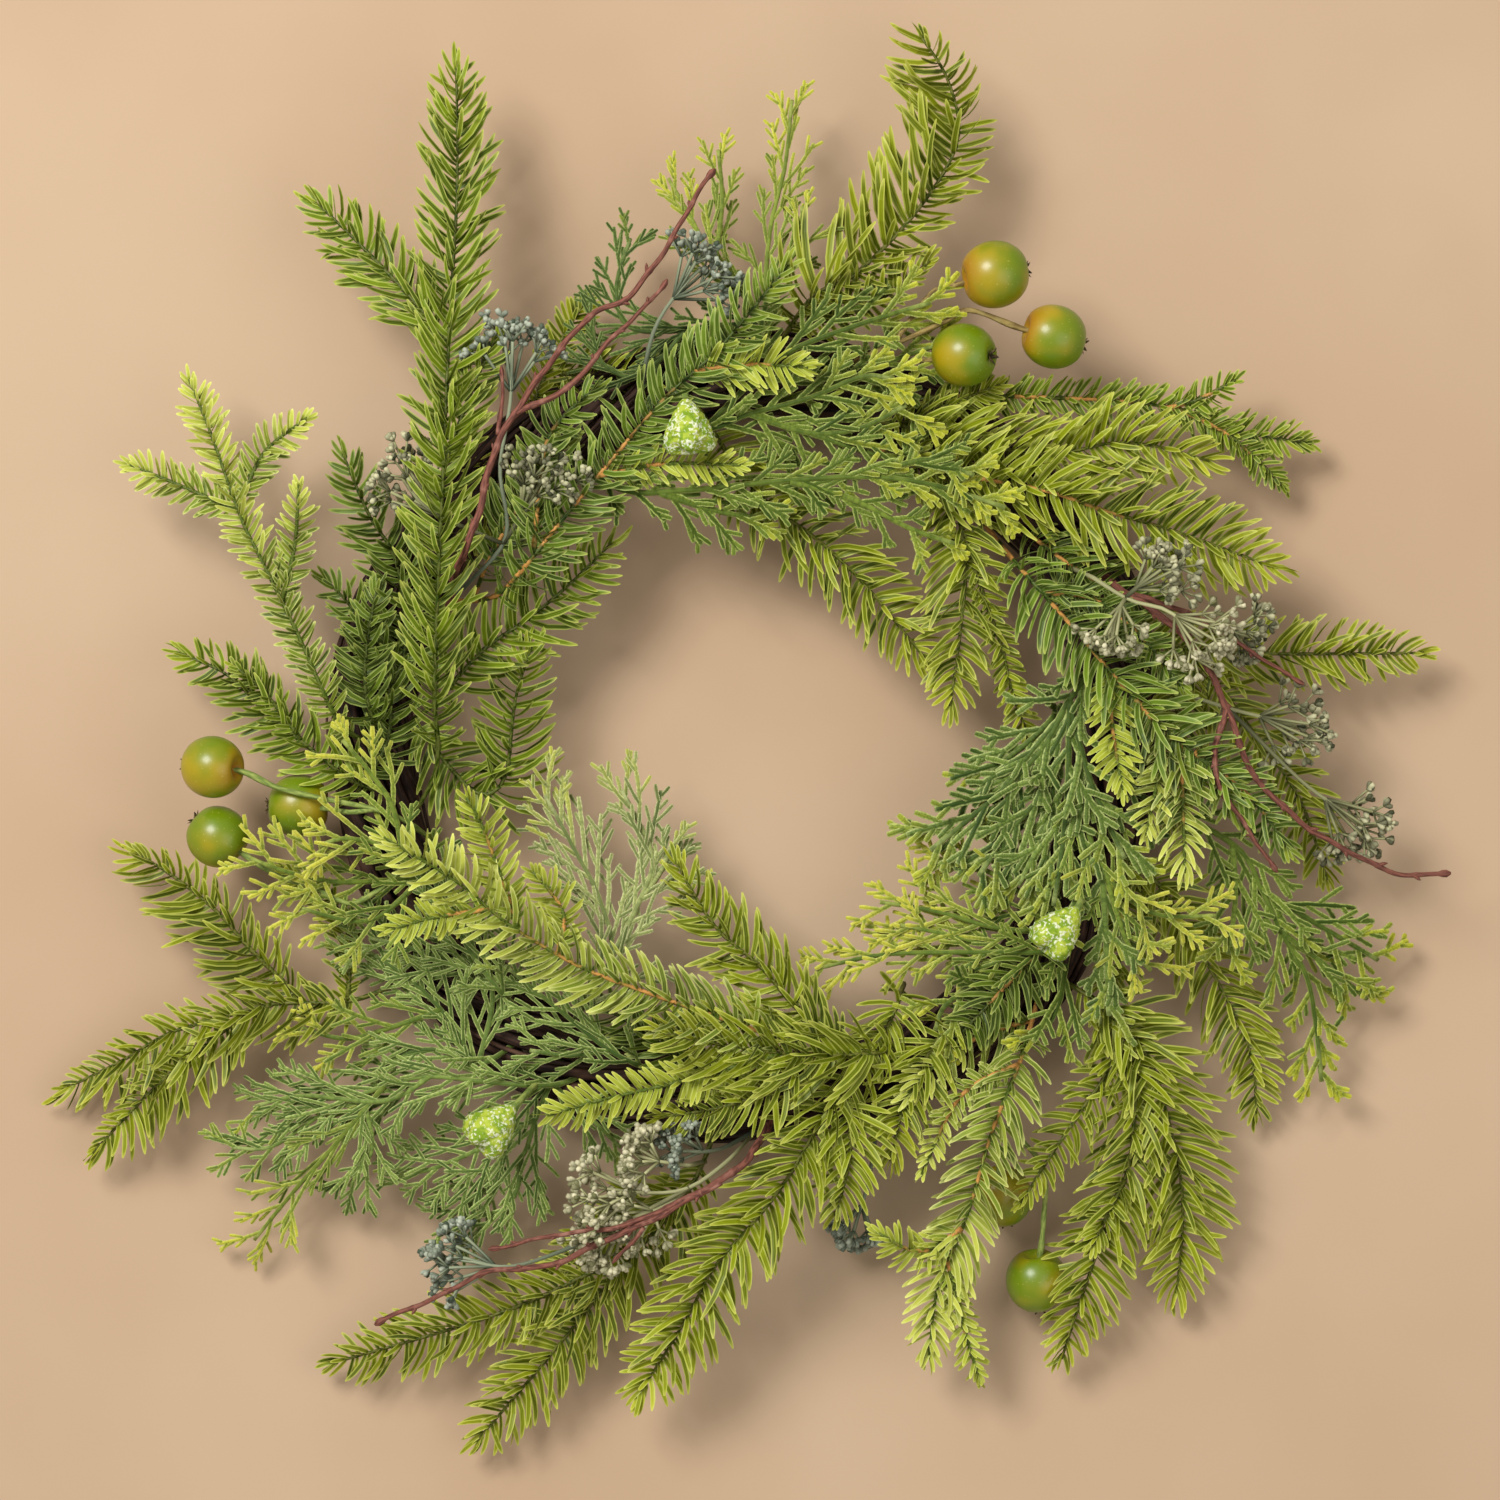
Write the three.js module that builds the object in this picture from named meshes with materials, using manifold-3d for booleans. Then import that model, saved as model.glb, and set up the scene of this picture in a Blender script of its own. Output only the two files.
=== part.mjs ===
// An evergreen wreath lying face up: grapevines coiled into a ring, with sprays of fir and cedar,
// seeded sprigs, red twigs, small cones and crab apples pushed in between the vines.
// Millimetres. The ring lies in the XY plane and its front looks up +Z.
import * as THREE from 'three';
import { mergeVertices } from 'three/addons/utils/BufferGeometryUtils.js';
import Module from 'manifold-3d';

const wasm = await Module();
wasm.setup();

// Layout grid: routes are drawn on a square grid, x to the right and y downwards.
const GRID_STEP = 0.43;
const GRID_MIDDLE = new THREE.Vector2(745, 740);

// Grapevine ring: one long coil of twelve turns, cut into four vines of about three turns.
const RING_RADIUS = 160;
const RING_TURNS = 12;
const BUNDLE_RADIUS = 14.5;
const VINE_RADIUS = 3.2;
const VINE_SIDES = 5;
const STEPS_PER_TURN = 27;
const TWISTS_PER_TURN = 3 + 1 / RING_TURNS;
const VINE_CUTS = [0.02, 3.2, 5.9, 9.35];
const CUT_LENGTH = 0.015;
const RING_WAVE = 3;
const RING_HEIGHT = BUNDLE_RADIUS + VINE_RADIUS + 0.4;

// Sprays: where a stem leaves the ring, and the height of one layer of greenery over the next.
const ROOT_HEIGHT = RING_HEIGHT + 11;
const LOWEST_LAYER = 31;
const LAYER_STEP = 8;
const RISE_SHARE = 0.22;

// The greenery is a mound: highest over the ring, lower towards the rim and into the opening.
const MOUND_RADIUS = 175;
const RIM_RADIUS = 310;
const RIM_SINK = 4;
const RIM_SHARE = 0.45;
const INNER_SHARE = 0.8;

const GAP = 0.3;
const FIR = { thick: 3.2, stem: 1.7 };
const CEDAR = { thick: 2.0, stem: 1.3 };
const STALK_RADIUS = 1.3;
const HEAD_FLATNESS = 0.4;
const APPLE_SIDES = 10;
const CONE_LENGTH = 22;
const CONE_RADIUS = 9;

// ---------------------------------------------------------------- materials

const finish = (color, roughness) => ({ color, roughness, metalness: 0 });
const FINISHES = {
  vine: finish(0x4a3428, 0.85),
  fir_olive: finish(0x66803a, 0.5),
  fir_deep: finish(0x48683a, 0.5),
  fir_green: finish(0x5c7f38, 0.5),
  fir_lime: finish(0x8ba244, 0.5),
  fir_blue: finish(0x587c54, 0.5),
  fir_tipped: finish(0x93a94a, 0.5),
  cedar_fine: finish(0x5a7f58, 0.6),
  cedar_broad: finish(0x668655, 0.6),
  cedar_tipped: finish(0x7b9a50, 0.6),
  cedar_yellow: finish(0xa3b044, 0.6),
  cedar_pale: finish(0x7f9f66, 0.6),
  seeded_blue: finish(0x71837f, 0.7),
  seeded_grey: finish(0x7d8474, 0.7),
  seeded_cream: finish(0xa7a48a, 0.7),
  stalk: finish(0x9a8a4c, 0.6),
  apple: finish(0x93a01e, 0.25),
  twig: finish(0x80493f, 0.7),
  cone: finish(0xa9c872, 0.8),
};

// ---------------------------------------------------------------- layout, drawn on the grid

// A laid piece: name, kind, look, layer, then its shoots. A shoot is its route on the grid, its
// half width (of the needles, or the radius of a stalk's head), how far its tip rises or sinks
// and, where it must meet something, its tip's own height.
const LAID = [
  ['apple_stalk_bottom', 'stalk', 'stalk', 1, [
    ['985,1075 990,1115 1000,1166 1005,1201', 0, 0, 20],
    ['990,1115 1042,1165 1046,1225 1040,1287', 0, 0, 18]]],
  ['apple_stalk_top', 'stalk', 'stalk', 2.8, [
    ['830,372 893,346 943,324 969,312 1018,330 1052,339', 0, 0, 58],
    ['838,368 880,360 928,361 963,357', 0, 0, 57],
    ['893,346 930,296 957,287 993,278', 0, 0, 62]]],
  ['fir_left_low', 'fir', 'olive', 0, [
    ['395,985 345,1003 268,1006 214,1021 161,1037 115,1064 52,1095', 11, -14],
    ['268,1006 230,1025 191,1056 153,1087 115,1125 85,1158', 10, -8],
    ['300,1002 245,949 214,914 172,880 126,851', 12, -4],
    ['345,1003 345,935 320,892 276,868', 8, -8]]],
  ['fir_behind_top_left', 'fir', 'olive', 0, [
    ['520,430 545,370 566,325 588,292', 9, -10],
    ['545,370 590,372 640,372 690,360', 10, -4],
    ['520,430 500,470 470,520 440,560', 10, 0]]],
  ['fir_right_outer', 'fir', 'olive', 0.4, [
    ['1090,620 1190,648 1267,653 1359,653 1430,652', 11, -4],
    ['1190,648 1232,700 1262,740 1305,800 1335,882', 11, -14],
    ['1190,648 1180,700 1175,770 1172,830', 11, -4]]],
  ['fir_lower_right_back', 'fir', 'olive', 0, [
    ['1110,830 1165,890 1191,932 1225,990 1256,1055 1264,1120', 12, -14],
    ['1130,850 1128,900 1125,950 1112,1000', 11, 0]]],
  ['fir_left_shoulder', 'fir', 'deep', 1.3, [
    ['400,800 350,780 314,752 265,713 226,675 175,652', 11, -6],
    ['300,740 262,690 232,665', 8, 2],
    ['362,785 388,735 385,667 366,630 345,600 322,577', 10, -2],
    ['390,690 405,640 395,560 368,514 342,453', 11, 0]]],
  ['apple_stalk_left', 'stalk', 'stalk', 2.6, [
    ['440,850 408,822 376,809 332,800 280,788 245,772 213,767', 0, 0, 48],
    ['412,826 400,870 358,902 332,897 312,886 280,877 248,858 216,837', 0, 0, 38],
    ['376,809 350,812 330,809 297,806', 0, 0, 36]]],
  ['seeded_bottom', 'seeded', 'blue', 0.4, [
    ['880,1110 870,1180 858,1225 850,1250', 13, -16]]],
  ['fir_bottom_left', 'fir', 'olive', 0.5, [
    ['720,1120 690,1190 640,1250 598,1299 568,1337 530,1383 473,1450', 13, -12],
    ['640,1250 537,1302 453,1333 325,1372', 11, -14],
    ['690,1190 640,1210 590,1240 545,1275', 10, -8]]],
  ['fir_under_apples', 'fir', 'green', 0.9, [
    ['880,400 960,395 1046,396 1136,400 1190,410 1240,428 1318,440', 9, -12],
    ['1190,410 1240,438 1292,486', 7, -14],
    ['1170,405 1200,398 1238,378', 8, 4]]],
  ['cedar_top', 'cedar', 'yellow', 1.4, [
    ['770,380 765,310 770,230 785,165 792,98', 11, 6],
    ['766,320 715,260 690,215 668,176', 9, 0],
    ['715,260 722,200 718,148', 8, 4],
    ['768,280 800,245 802,206', 7, 8],
    ['766,320 640,330 616,290 630,236', 9, -4],
    ['690,325 640,375 600,360 592,318', 9, -2]]],
  ['fir_bottom_right_fan', 'fir', 'lime', 1.4, [
    ['1040,970 1110,1010 1150,1060 1170,1120 1184,1180 1187,1235 1182,1302', 15, -16],
    ['1110,1010 1135,1060 1135,1130 1127,1182 1100,1255 1065,1366', 13, -12],
    ['1100,1000 1112,1060 1082,1112 1046,1165 1022,1205', 14, 0],
    ['1127,1182 1110,1215 1092,1250', 9, 4]]],
  ['cedar_bottom_fan', 'cedar', 'fine', 1, [
    ['560,1060 535,1120 520,1160 480,1195 440,1228', 12, -12],
    ['535,1120 480,1150 430,1172 396,1180', 11, -14],
    ['520,1160 512,1200 470,1240', 9, -10],
    ['550,1085 590,1120 620,1150', 9, -6]]],
  ['cedar_bottom_left', 'cedar', 'fine', 1.8, [
    ['600,1065 559,1085 497,1083 429,1077 383,1087 325,1113 268,1150 226,1152', 11, -14],
    ['383,1087 330,1150 290,1195 248,1246', 12, -16],
    ['429,1077 383,1102 300,1098 250,1110', 10, -14],
    ['360,1097 370,1150 345,1190', 10, -12]]],
  ['cedar_left_low', 'cedar', 'fine', 1.2, [
    ['520,1040 478,1064 452,1025 415,985 360,948', 12, -4],
    ['478,1064 490,985 430,955 368,938', 12, 0],
    ['440,1010 400,1025 345,1040 300,1030', 11, -8],
    ['478,1064 430,1050 380,1062', 9, -4]]],
  ['seeded_top', 'seeded', 'blue', 2.4, [
    ['640,400 655,330 690,280 715,262', 19, 4]]],
  ['fir_tall_top', 'fir', 'olive', 2.4, [
    ['760,372 811,300 854,273 921,206 957,140 950,75 916,28', 14, 12],
    ['790,325 830,320 880,300 930,262', 10, 2]]],
  ['fir_inner_left', 'fir', 'green', 1.4, [
    ['410,720 437,700 483,650 529,618 571,583 612,543', 13, 6],
    ['410,720 470,790 503,780 515,700 532,645', 13, 4]]],
  ['fir_inner_top', 'fir', 'lime', 1.7, [
    ['690,392 735,465 770,505 805,530 832,552 868,588 904,632 928,662', 13, 0]]],
  ['fir_inner_top_right', 'fir', 'lime', 2.1, [
    ['920,430 950,480 960,523 965,577 959,640 950,706', 13, 2],
    ['960,523 985,600 1003,650 1012,690 1034,748', 7, -12]]],
  ['fir_broad_top_right', 'fir', 'lime', 1.9, [
    ['840,410 900,425 960,440 1046,455 1113,443 1158,447 1209,461', 14, 4],
    ['900,425 960,400 1000,385', 9, 0]]],
  ['fir_long_top_right', 'fir', 'lime', 2.8, [
    ['858,420 885,450 930,468 975,479 1046,492 1104,512 1167,530 1225,550 1274,568', 15, 2]]],
  ['cedar_right_low', 'cedar', 'tipped', 2, [
    ['1130,790 1233,844 1263,890 1283,932 1313,986 1328,1085', 11, -14],
    ['1263,890 1320,925 1384,962', 10, -10],
    ['1283,932 1340,975 1374,1002', 9, -14],
    ['1233,844 1236,900 1230,955', 11, -4]]],
  ['cedar_inner_right', 'cedar', 'tipped', 2.4, [
    ['1095,935 1000,928 940,912 880,902', 12, -2],
    ['1090,950 1020,952 950,952 880,955 815,969', 10, -4],
    ['1060,960 1010,980 950,1000 935,1030', 11, 0],
    ['1070,950 1060,1000 1045,1030', 11, 0]]],
  ['cedar_inner_left', 'cedar', 'pale', 2.4, [
    ['560,1040 610,960 600,900 575,850 545,795', 12, 0],
    ['610,960 640,900 652,855 622,790', 11, 2],
    ['640,900 662,870 672,842', 7, 0]]],
  ['fir_bottom_tipped', 'fir', 'tipped', 2.8, [
    ['1045,985 1018,1063 1001,1105 987,1144 973,1196 958,1240 938,1290 930,1362', 11, -8],
    ['962,1228 920,1252 874,1230', 9, -2],
    ['948,1262 962,1320 982,1388', 7, -10],
    ['1018,1063 960,1095 921,1176', 9, -6],
    ['1035,1020 985,1035 940,1060 905,1095', 10, 0]]],
  ['fir_bottom_broad', 'fir', 'lime', 3.2, [
    ['920,1040 843,1088 790,1172 759,1214 713,1268 687,1318 638,1398', 14, -4],
    ['843,1088 850,1150 835,1215', 13, -6]]],
  ['cedar_right_fan', 'cedar', 'broad', 3.2, [
    ['1115,640 1068,700 1040,750 990,800 930,850', 13, -2],
    ['1068,700 1066,790 1060,850 1052,905', 11, 2],
    ['1068,700 1085,770 1105,820 1122,858', 12, 4],
    ['1066,760 1080,810 1103,871 1150,912 1215,915', 11, 0],
    ['1103,871 1125,940 1150,970', 10, -4],
    ['1100,865 1105,950 1108,1015', 9, -4]]],
  ['cedar_left_yellow', 'cedar', 'yellow', 2.8, [
    ['440,885 367,834 310,812 262,795', 11, 4],
    ['430,878 340,882 290,872 252,858', 11, 2],
    ['425,875 370,920 300,907', 10, 0],
    ['405,860 394,807 370,770 345,740', 10, 6]]],
  ['cedar_tufted_top', 'cedar', 'tipped', 3.4, [
    ['672,400 705,430 749,416 810,400 860,380 893,382', 12, 8],
    ['749,416 810,435 860,430 905,408', 12, 6],
    ['705,430 780,360 850,330 930,305', 12, 2],
    ['810,435 870,455 930,470', 9, 2]]],
  ['cedar_long_top', 'cedar', 'tipped', 4, [
    ['560,440 620,490 685,492 779,483 868,479 935,488 1003,510', 9, 4],
    ['868,479 925,462 972,478', 8, 4],
    ['790,484 850,500 910,530 955,545', 8, -6],
    ['660,495 715,512 765,520', 9, -4]]],
  ['fir_forked_left', 'fir', 'tipped', 3.2, [
    ['400,760 349,732 330,702 301,637 265,564 242,518 211,434 188,378', 9, 2],
    ['240,512 177,484 126,463', 9, -2],
    ['243,500 265,453 309,419', 9, 4],
    ['284,602 297,545 301,486', 8, 6]]],
  ['fir_orange_top_left', 'fir', 'blue', 4, [
    ['440,600 490,598 520,575 560,526 593,486 623,450 669,398 720,352 788,270', 11, 8],
    ['600,478 666,466 742,468', 9, 6],
    ['695,375 750,368 808,372', 11, 8],
    ['535,555 545,460 560,425 598,390', 10, 2]]],
  ['fir_orange_right', 'fir', 'blue', 4.2, [
    ['985,520 1022,573 1068,626 1107,672 1153,722 1206,768 1232,812', 13, 2],
    ['1105,672 1110,737 1119,790', 10, 6],
    ['1176,745 1179,806 1181,872', 11, 2],
    ['1190,752 1250,800 1288,852', 11, -4],
    ['1040,595 1090,600 1140,640 1180,690', 9, -2],
    ['1130,697 1160,740 1152,790 1142,835', 9, 0]]],
  ['fir_bottom_across', 'fir', 'lime', 4, [
    ['925,1045 884,1050 812,1053 732,1044 665,1030', 15, 6],
    ['780,1052 679,1079 610,1095 549,1112', 10, 2],
    ['850,1050 800,1010 760,965 715,925 676,862', 12, -4],
    ['812,1053 775,1085 720,1105 660,1115', 11, -6]]],
  ['seeded_top_left', 'seeded', 'blue', 3.5, [
    ['435,610 505,545 502,470 513,400 514,325', 22, 10],
    ['505,545 530,490 540,460', 15, 2],
    ['505,545 430,510 398,470', 16, -8]]],
  ['fir_tall_left', 'fir', 'green', 4.2, [
    ['400,830 436,770 437,700 440,600 446,480 452,330 458,200 457,66', 12, 8],
    ['450,350 430,320 380,265 330,215 312,200', 12, 0],
    ['446,470 480,380 500,340', 10, 4]]],
  ['fir_yellow_lower_left', 'fir', 'tipped', 4.6, [
    ['840,1085 790,1042 692,1006 647,990 589,968 540,941 500,914 460,880 388,836', 11, 6],
    ['520,925 500,865 484,822 470,797', 10, 8],
    ['492,908 440,915 391,928', 9, 6],
    ['560,952 565,910 535,870', 9, 8]]],
  ['red_twig_right', 'twig', 'twig', 4.9, [
    ['1068,561 1099,569 1126,596 1183,640 1221,707 1237,745 1254,783 1321,837 1390,871 1450,873', 2, 4],
    ['1221,707 1212,745 1214,783 1237,821 1275,871', 1.6, 0],
    ['1126,596 1183,612 1229,642 1302,684', 1.5, 0]]],
  ['seeded_right', 'seeded', 'cream', 5.6, [
    ['1060,560 1120,600 1160,612 1190,635 1212,648', 22, 6],
    ['1120,600 1150,575 1178,558', 17, 2],
    ['1120,600 1110,620 1106,650', 13, 0]]],
  ['seeded_right_outer', 'seeded', 'grey', 3.2, [
    ['1110,670 1225,708 1285,722 1316,730', 20, 0],
    ['1225,708 1300,780 1345,812 1372,838', 18, -6]]],
  ['seeded_lower_left', 'seeded', 'cream', 3.3, [
    ['760,1130 690,1185 620,1190 580,1202', 20, 6],
    ['690,1185 620,1225 582,1262', 16, 0],
    ['620,1225 520,1265 465,1262 428,1258', 20, -10],
    ['760,1130 720,1150 680,1148 664,1138', 15, 2]]],
  ['red_twig_top_left', 'twig', 'twig', 6, [
    ['440,650 452,595 483,514 506,438 548,378 591,323 634,303 682,230 715,176', 2, 10],
    ['518,421 571,392 601,361 655,304 668,287', 1.6, 8],
    ['503,440 506,415 505,372', 1.2, 4]]],
  ['red_twig_lower_left', 'twig', 'twig', 5.2, [
    ['790,1092 760,1140 721,1176 644,1218 560,1258 491,1270 445,1291 375,1325', 2, 0],
    ['721,1176 644,1214 568,1230 490,1245', 1.6, 2],
    ['644,1222 614,1260', 1.2, 0]]],
];

// A crab apple: name, its middle on the grid, height of its middle, radius, the way its stalk end
// looks, in degrees anticlockwise from +X, and how far that end tips up.
const APPLES = [
  ['apple_top_upper', '993,278', 62, 14.4, 190, 5],
  ['apple_top_lower', '963,357', 57, 13.7, 175, -30],
  ['apple_top_outer', '1052,339', 58, 13.8, 165, 10],
  ['apple_left_upper', '213,767', 47, 13.4, -5, 25],
  ['apple_left_lower', '216,837', 38, 13.1, -38, 5],
  ['apple_left_inner', '297,806', 36, 13.4, 0, 0],
  ['apple_bottom_inner', '1005,1201', 20, 13.0, 100, 20],
  ['apple_bottom_outer', '1040,1287', 18, 13.5, 97, 15],
];

// A small cone: name, its middle on the grid, height of its middle, the way its tip points, and
// where its stalk leaves the ring.
const CONES = [
  ['cone_top', '689,431', 74, 95, '676,374'],
  ['cone_lower_left', '496,1124', 62, 45, '545,1075'],
  ['cone_right', '1056,928', 70, 50, '1082,880'],
];

// ---------------------------------------------------------------- geometry helpers

const onGrid = (text) => {
  const [x, y] = text.split(',').map(Number);
  return new THREE.Vector2((x - GRID_MIDDLE.x) * GRID_STEP, (GRID_MIDDLE.y - y) * GRID_STEP);
};

const smooth = (t) => THREE.MathUtils.smoothstep(t, 0, 1);

// A closed solid from any closed geometry.
function solidOf(geometry) {
  const bare = geometry.index ? geometry : geometry.clone();
  bare.deleteAttribute('normal');
  bare.deleteAttribute('uv');
  const merged = mergeVertices(bare, 1e-4);
  return new wasm.Manifold(new wasm.Mesh({
    numProp: 3,
    vertProperties: new Float32Array(merged.attributes.position.array),
    triVerts: new Uint32Array(merged.index.array),
  }));
}

function geometryOf(solid) {
  const mesh = solid.getMesh();
  const geometry = new THREE.BufferGeometry();
  geometry.setAttribute('position', new THREE.BufferAttribute(mesh.vertProperties, 3));
  geometry.setIndex(new THREE.BufferAttribute(mesh.triVerts, 1));
  return geometry;
}

// A polygon of radius 1, extruded in steps and then bent: place(x, y, share) gives each point.
function bentBar(sides, steps, place) {
  const corners = Array.from({ length: sides }, (_, i) => {
    const angle = (i / sides) * 2 * Math.PI;
    return new THREE.Vector2(Math.cos(angle), Math.sin(angle));
  });
  const bar = new THREE.ExtrudeGeometry(new THREE.Shape(corners), { depth: 1, steps, bevelEnabled: false });
  const position = bar.attributes.position;
  for (let i = 0; i < position.count; i += 1) {
    const point = place(position.getX(i), position.getY(i), position.getZ(i));
    position.setXYZ(i, point.x, point.y, point.z);
  }
  return solidOf(bar);
}

// A bar along a curve that stays level from side to side; shape(share) gives its half width and
// half thickness there.
function alongCurve(curve, sides, steps, shape) {
  const up = new THREE.Vector3(0, 0, 1);
  return bentBar(sides, steps, (x, y, share) => {
    const along = curve.getTangentAt(share);
    const side = new THREE.Vector3().crossVectors(up, along).normalize();
    const over = new THREE.Vector3().crossVectors(along, side);
    const [half, thick] = shape(share);
    return curve.getPointAt(share).addScaledVector(side, x * half).addScaledVector(over, y * thick);
  });
}

const turned = (solid, degrees, tip, middle) => {
  const pose = new THREE.Matrix4().makeRotationZ(THREE.MathUtils.degToRad(degrees));
  pose.multiply(new THREE.Matrix4().makeRotationY(THREE.MathUtils.degToRad(90 - tip)));
  pose.setPosition(middle);
  return solid.transform(pose.elements);
};

// ---------------------------------------------------------------- the pieces

// The coil's middle line after so many turns: its strands lie on a circle round the ring's core.
function coilPoint(turns) {
  const angle = turns * 2 * Math.PI;
  const phase = turns * TWISTS_PER_TURN * 2 * Math.PI;
  const loose = 0.8 * (1 + Math.sin(turns * 9.1));
  const radius = RING_RADIUS + RING_WAVE * Math.sin(2 * angle + 1) + 1.5 * Math.sin(5 * angle);
  return { angle, radius, out: BUNDLE_RADIUS + loose * Math.max(0, Math.sin(phase)), phase };
}

function vine(from, to, grow) {
  const steps = Math.round((to - from) * STEPS_PER_TURN);
  const first = Math.round(from * STEPS_PER_TURN) / STEPS_PER_TURN;
  return bentBar(VINE_SIDES, steps, (x, y, share) => {
    const { angle, radius, out, phase } = coilPoint(first + (share * steps) / STEPS_PER_TURN);
    const reach = radius + out * Math.cos(phase) - (VINE_RADIUS + grow) * x;
    const height = RING_HEIGHT + out * Math.sin(phase) + (VINE_RADIUS + grow) * y;
    return new THREE.Vector3(reach * Math.cos(angle), reach * Math.sin(angle), height);
  });
}

// The height of a layer's stems at a distance from the ring's middle.
function layerHeight(layer, radius) {
  const outward = smooth((radius - MOUND_RADIUS) / (RIM_RADIUS - MOUND_RADIUS));
  const inward = smooth((RING_RADIUS - radius) / 100);
  const share = 1 - (1 - RIM_SHARE) * outward - (1 - INNER_SHARE) * inward;
  return LOWEST_LAYER - RIM_SINK * outward + LAYER_STEP * layer * share;
}

// The curves of a laid piece's shoots. The first rises from the ring to its layer; each later one
// starts at the height of the nearest shoot before it.
function shootCurves(layer, shoots) {
  const curves = [];
  shoots.forEach(([route, , rises, tipHeight]) => {
    const flat = new THREE.SplineCurve(route.split(' ').map(onGrid));
    const start = flat.getPoint(0);
    const tipLayer = layerHeight(layer, flat.getPoint(1).length());
    const lift = tipHeight === undefined ? rises : tipHeight - tipLayer;
    const level = layerHeight(layer, start.length());
    let near = { distance: Infinity, height: level };
    curves.flatMap((curve) => curve.getSpacedPoints(40)).forEach((point) => {
      const distance = Math.hypot(point.x - start.x, point.y - start.y);
      if (distance < near.distance) near = { distance, height: point.z };
    });
    const fromRing = near.distance > 5;
    const points = Array.from({ length: 15 }, (_, i) => {
      const share = i / 14;
      const { x, y } = flat.getPointAt(share);
      const foot = fromRing ? ROOT_HEIGHT - level : near.height - level;
      const rise = foot * (1 - smooth(share / (fromRing ? RISE_SHARE : 1)));
      return new THREE.Vector3(x, y, layerHeight(layer, Math.hypot(x, y)) + rise + lift * share * share);
    });
    curves.push(new THREE.CatmullRomCurve3(points));
  });
  return curves;
}

// A leafy shoot: a bare stem near its foot, wide at its leaves, and narrow at its tip.
function leafyShoot(curve, kind, half, grow) {
  const steps = Math.max(4, Math.round(curve.getLength() / 28));
  return alongCurve(curve, 4, steps, (share) => {
    const leaves = smooth((share - 0.04) / 0.22) * Math.sqrt(Math.max(0, 1 - share ** 4));
    const wide = kind.stem + (half - kind.stem) * leaves;
    const thick = kind.stem * 0.8 + (kind.thick - kind.stem * 0.8) * leaves;
    const slant = Math.hypot(wide, thick);
    return [wide + (grow * slant) / thick, thick + (grow * slant) / wide];
  });
}

function stalk(curve, thick, thin, grow) {
  const steps = Math.max(4, Math.round(curve.getLength() / 15));
  return alongCurve(curve, 5, steps, (share) => {
    const radius = thick + (thin - thick) * share + grow;
    return [radius, radius];
  });
}

function seedHead(curve, radius, grow) {
  const head = new THREE.SphereGeometry(radius + grow, 8, 4);
  head.rotateX(Math.PI / 2);
  head.scale(1, 1, HEAD_FLATNESS);
  const middle = curve.getPointAt(1);
  head.translate(middle.x, middle.y, middle.z);
  return solidOf(head);
}

function laidPiece(kind, layer, shoots, grow) {
  const curves = shootCurves(layer, shoots);
  const solids = curves.flatMap((curve, i) => {
    const half = shoots[i][1];
    if (kind === 'fir') return [leafyShoot(curve, FIR, half, grow)];
    if (kind === 'cedar') return [leafyShoot(curve, CEDAR, half, grow)];
    if (kind === 'seeded') return [stalk(curve, STALK_RADIUS, 0.9, grow), seedHead(curve, half, grow)];
    if (kind === 'twig') return [stalk(curve, half, 0.5 * half, grow)];
    return [stalk(curve, STALK_RADIUS, STALK_RADIUS, grow)];
  });
  return wasm.Manifold.union(solids);
}

// An apple on its axis: a round body with a dimple at the stalk end and a small one at the other.
function apple(radius, grow) {
  const girth = [[0, -0.86], [0.5, -0.85], [0.86, -0.48], [1, 0.02], [0.93, 0.45],
    [0.62, 0.82], [0.3, 0.9], [0, 0.72]];
  const size = radius + grow;
  const outline = girth.map(([out, along]) => new THREE.Vector2(out * size, along * size));
  return solidOf(new THREE.LatheGeometry(outline, APPLE_SIDES).rotateX(Math.PI / 2));
}

function cone(grow) {
  const girth = [[0, -0.5], [0.62, -0.44], [1, -0.22], [0.92, 0.05], [0.6, 0.34], [0.25, 0.48], [0, 0.5]];
  const outline = girth.map(([out, along]) => new THREE.Vector2(
    out * (CONE_RADIUS + grow), along * (CONE_LENGTH + 2 * grow)));
  return solidOf(new THREE.LatheGeometry(outline, 9).rotateX(Math.PI / 2));
}

// ---------------------------------------------------------------- the wreath

const wreath = new THREE.Group();
const placed = [];

const near = (a, b) => [0, 1, 2].every((i) => a.min[i] < b.max[i] && b.min[i] < a.max[i]);

// Adds a piece, cut clear of every piece before it. make(grow) gives its solid, grown all round.
function add(name, look, make) {
  const whole = make(0);
  const box = whole.boundingBox();
  const around = placed.filter((other) => near(box, other.box)).map((other) => other.grown);
  const clear = around.length ? whole.subtract(wasm.Manifold.union(around)) : whole;
  const bodies = clear.decompose().sort((a, b) => b.volume() - a.volume());
  const grown = make(GAP);
  placed.push({ grown, box: grown.boundingBox() });
  const material = new THREE.MeshStandardMaterial(FINISHES[look]);
  const mesh = new THREE.Mesh(geometryOf(bodies[0]), material);
  mesh.name = name;
  wreath.add(mesh);
}

VINE_CUTS.forEach((cut, i) => {
  const next = VINE_CUTS[i + 1] ?? RING_TURNS + VINE_CUTS[0];
  add(`vine_${i + 1}`, 'vine', (grow) => vine(cut, next - CUT_LENGTH - 1 / STEPS_PER_TURN, grow));
});

APPLES.forEach(([name, spot, height, radius, toward, tip]) => {
  const { x, y } = onGrid(spot);
  add(name, 'apple', (grow) => turned(apple(radius, grow), toward, tip, new THREE.Vector3(x, y, height)));
});

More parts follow.
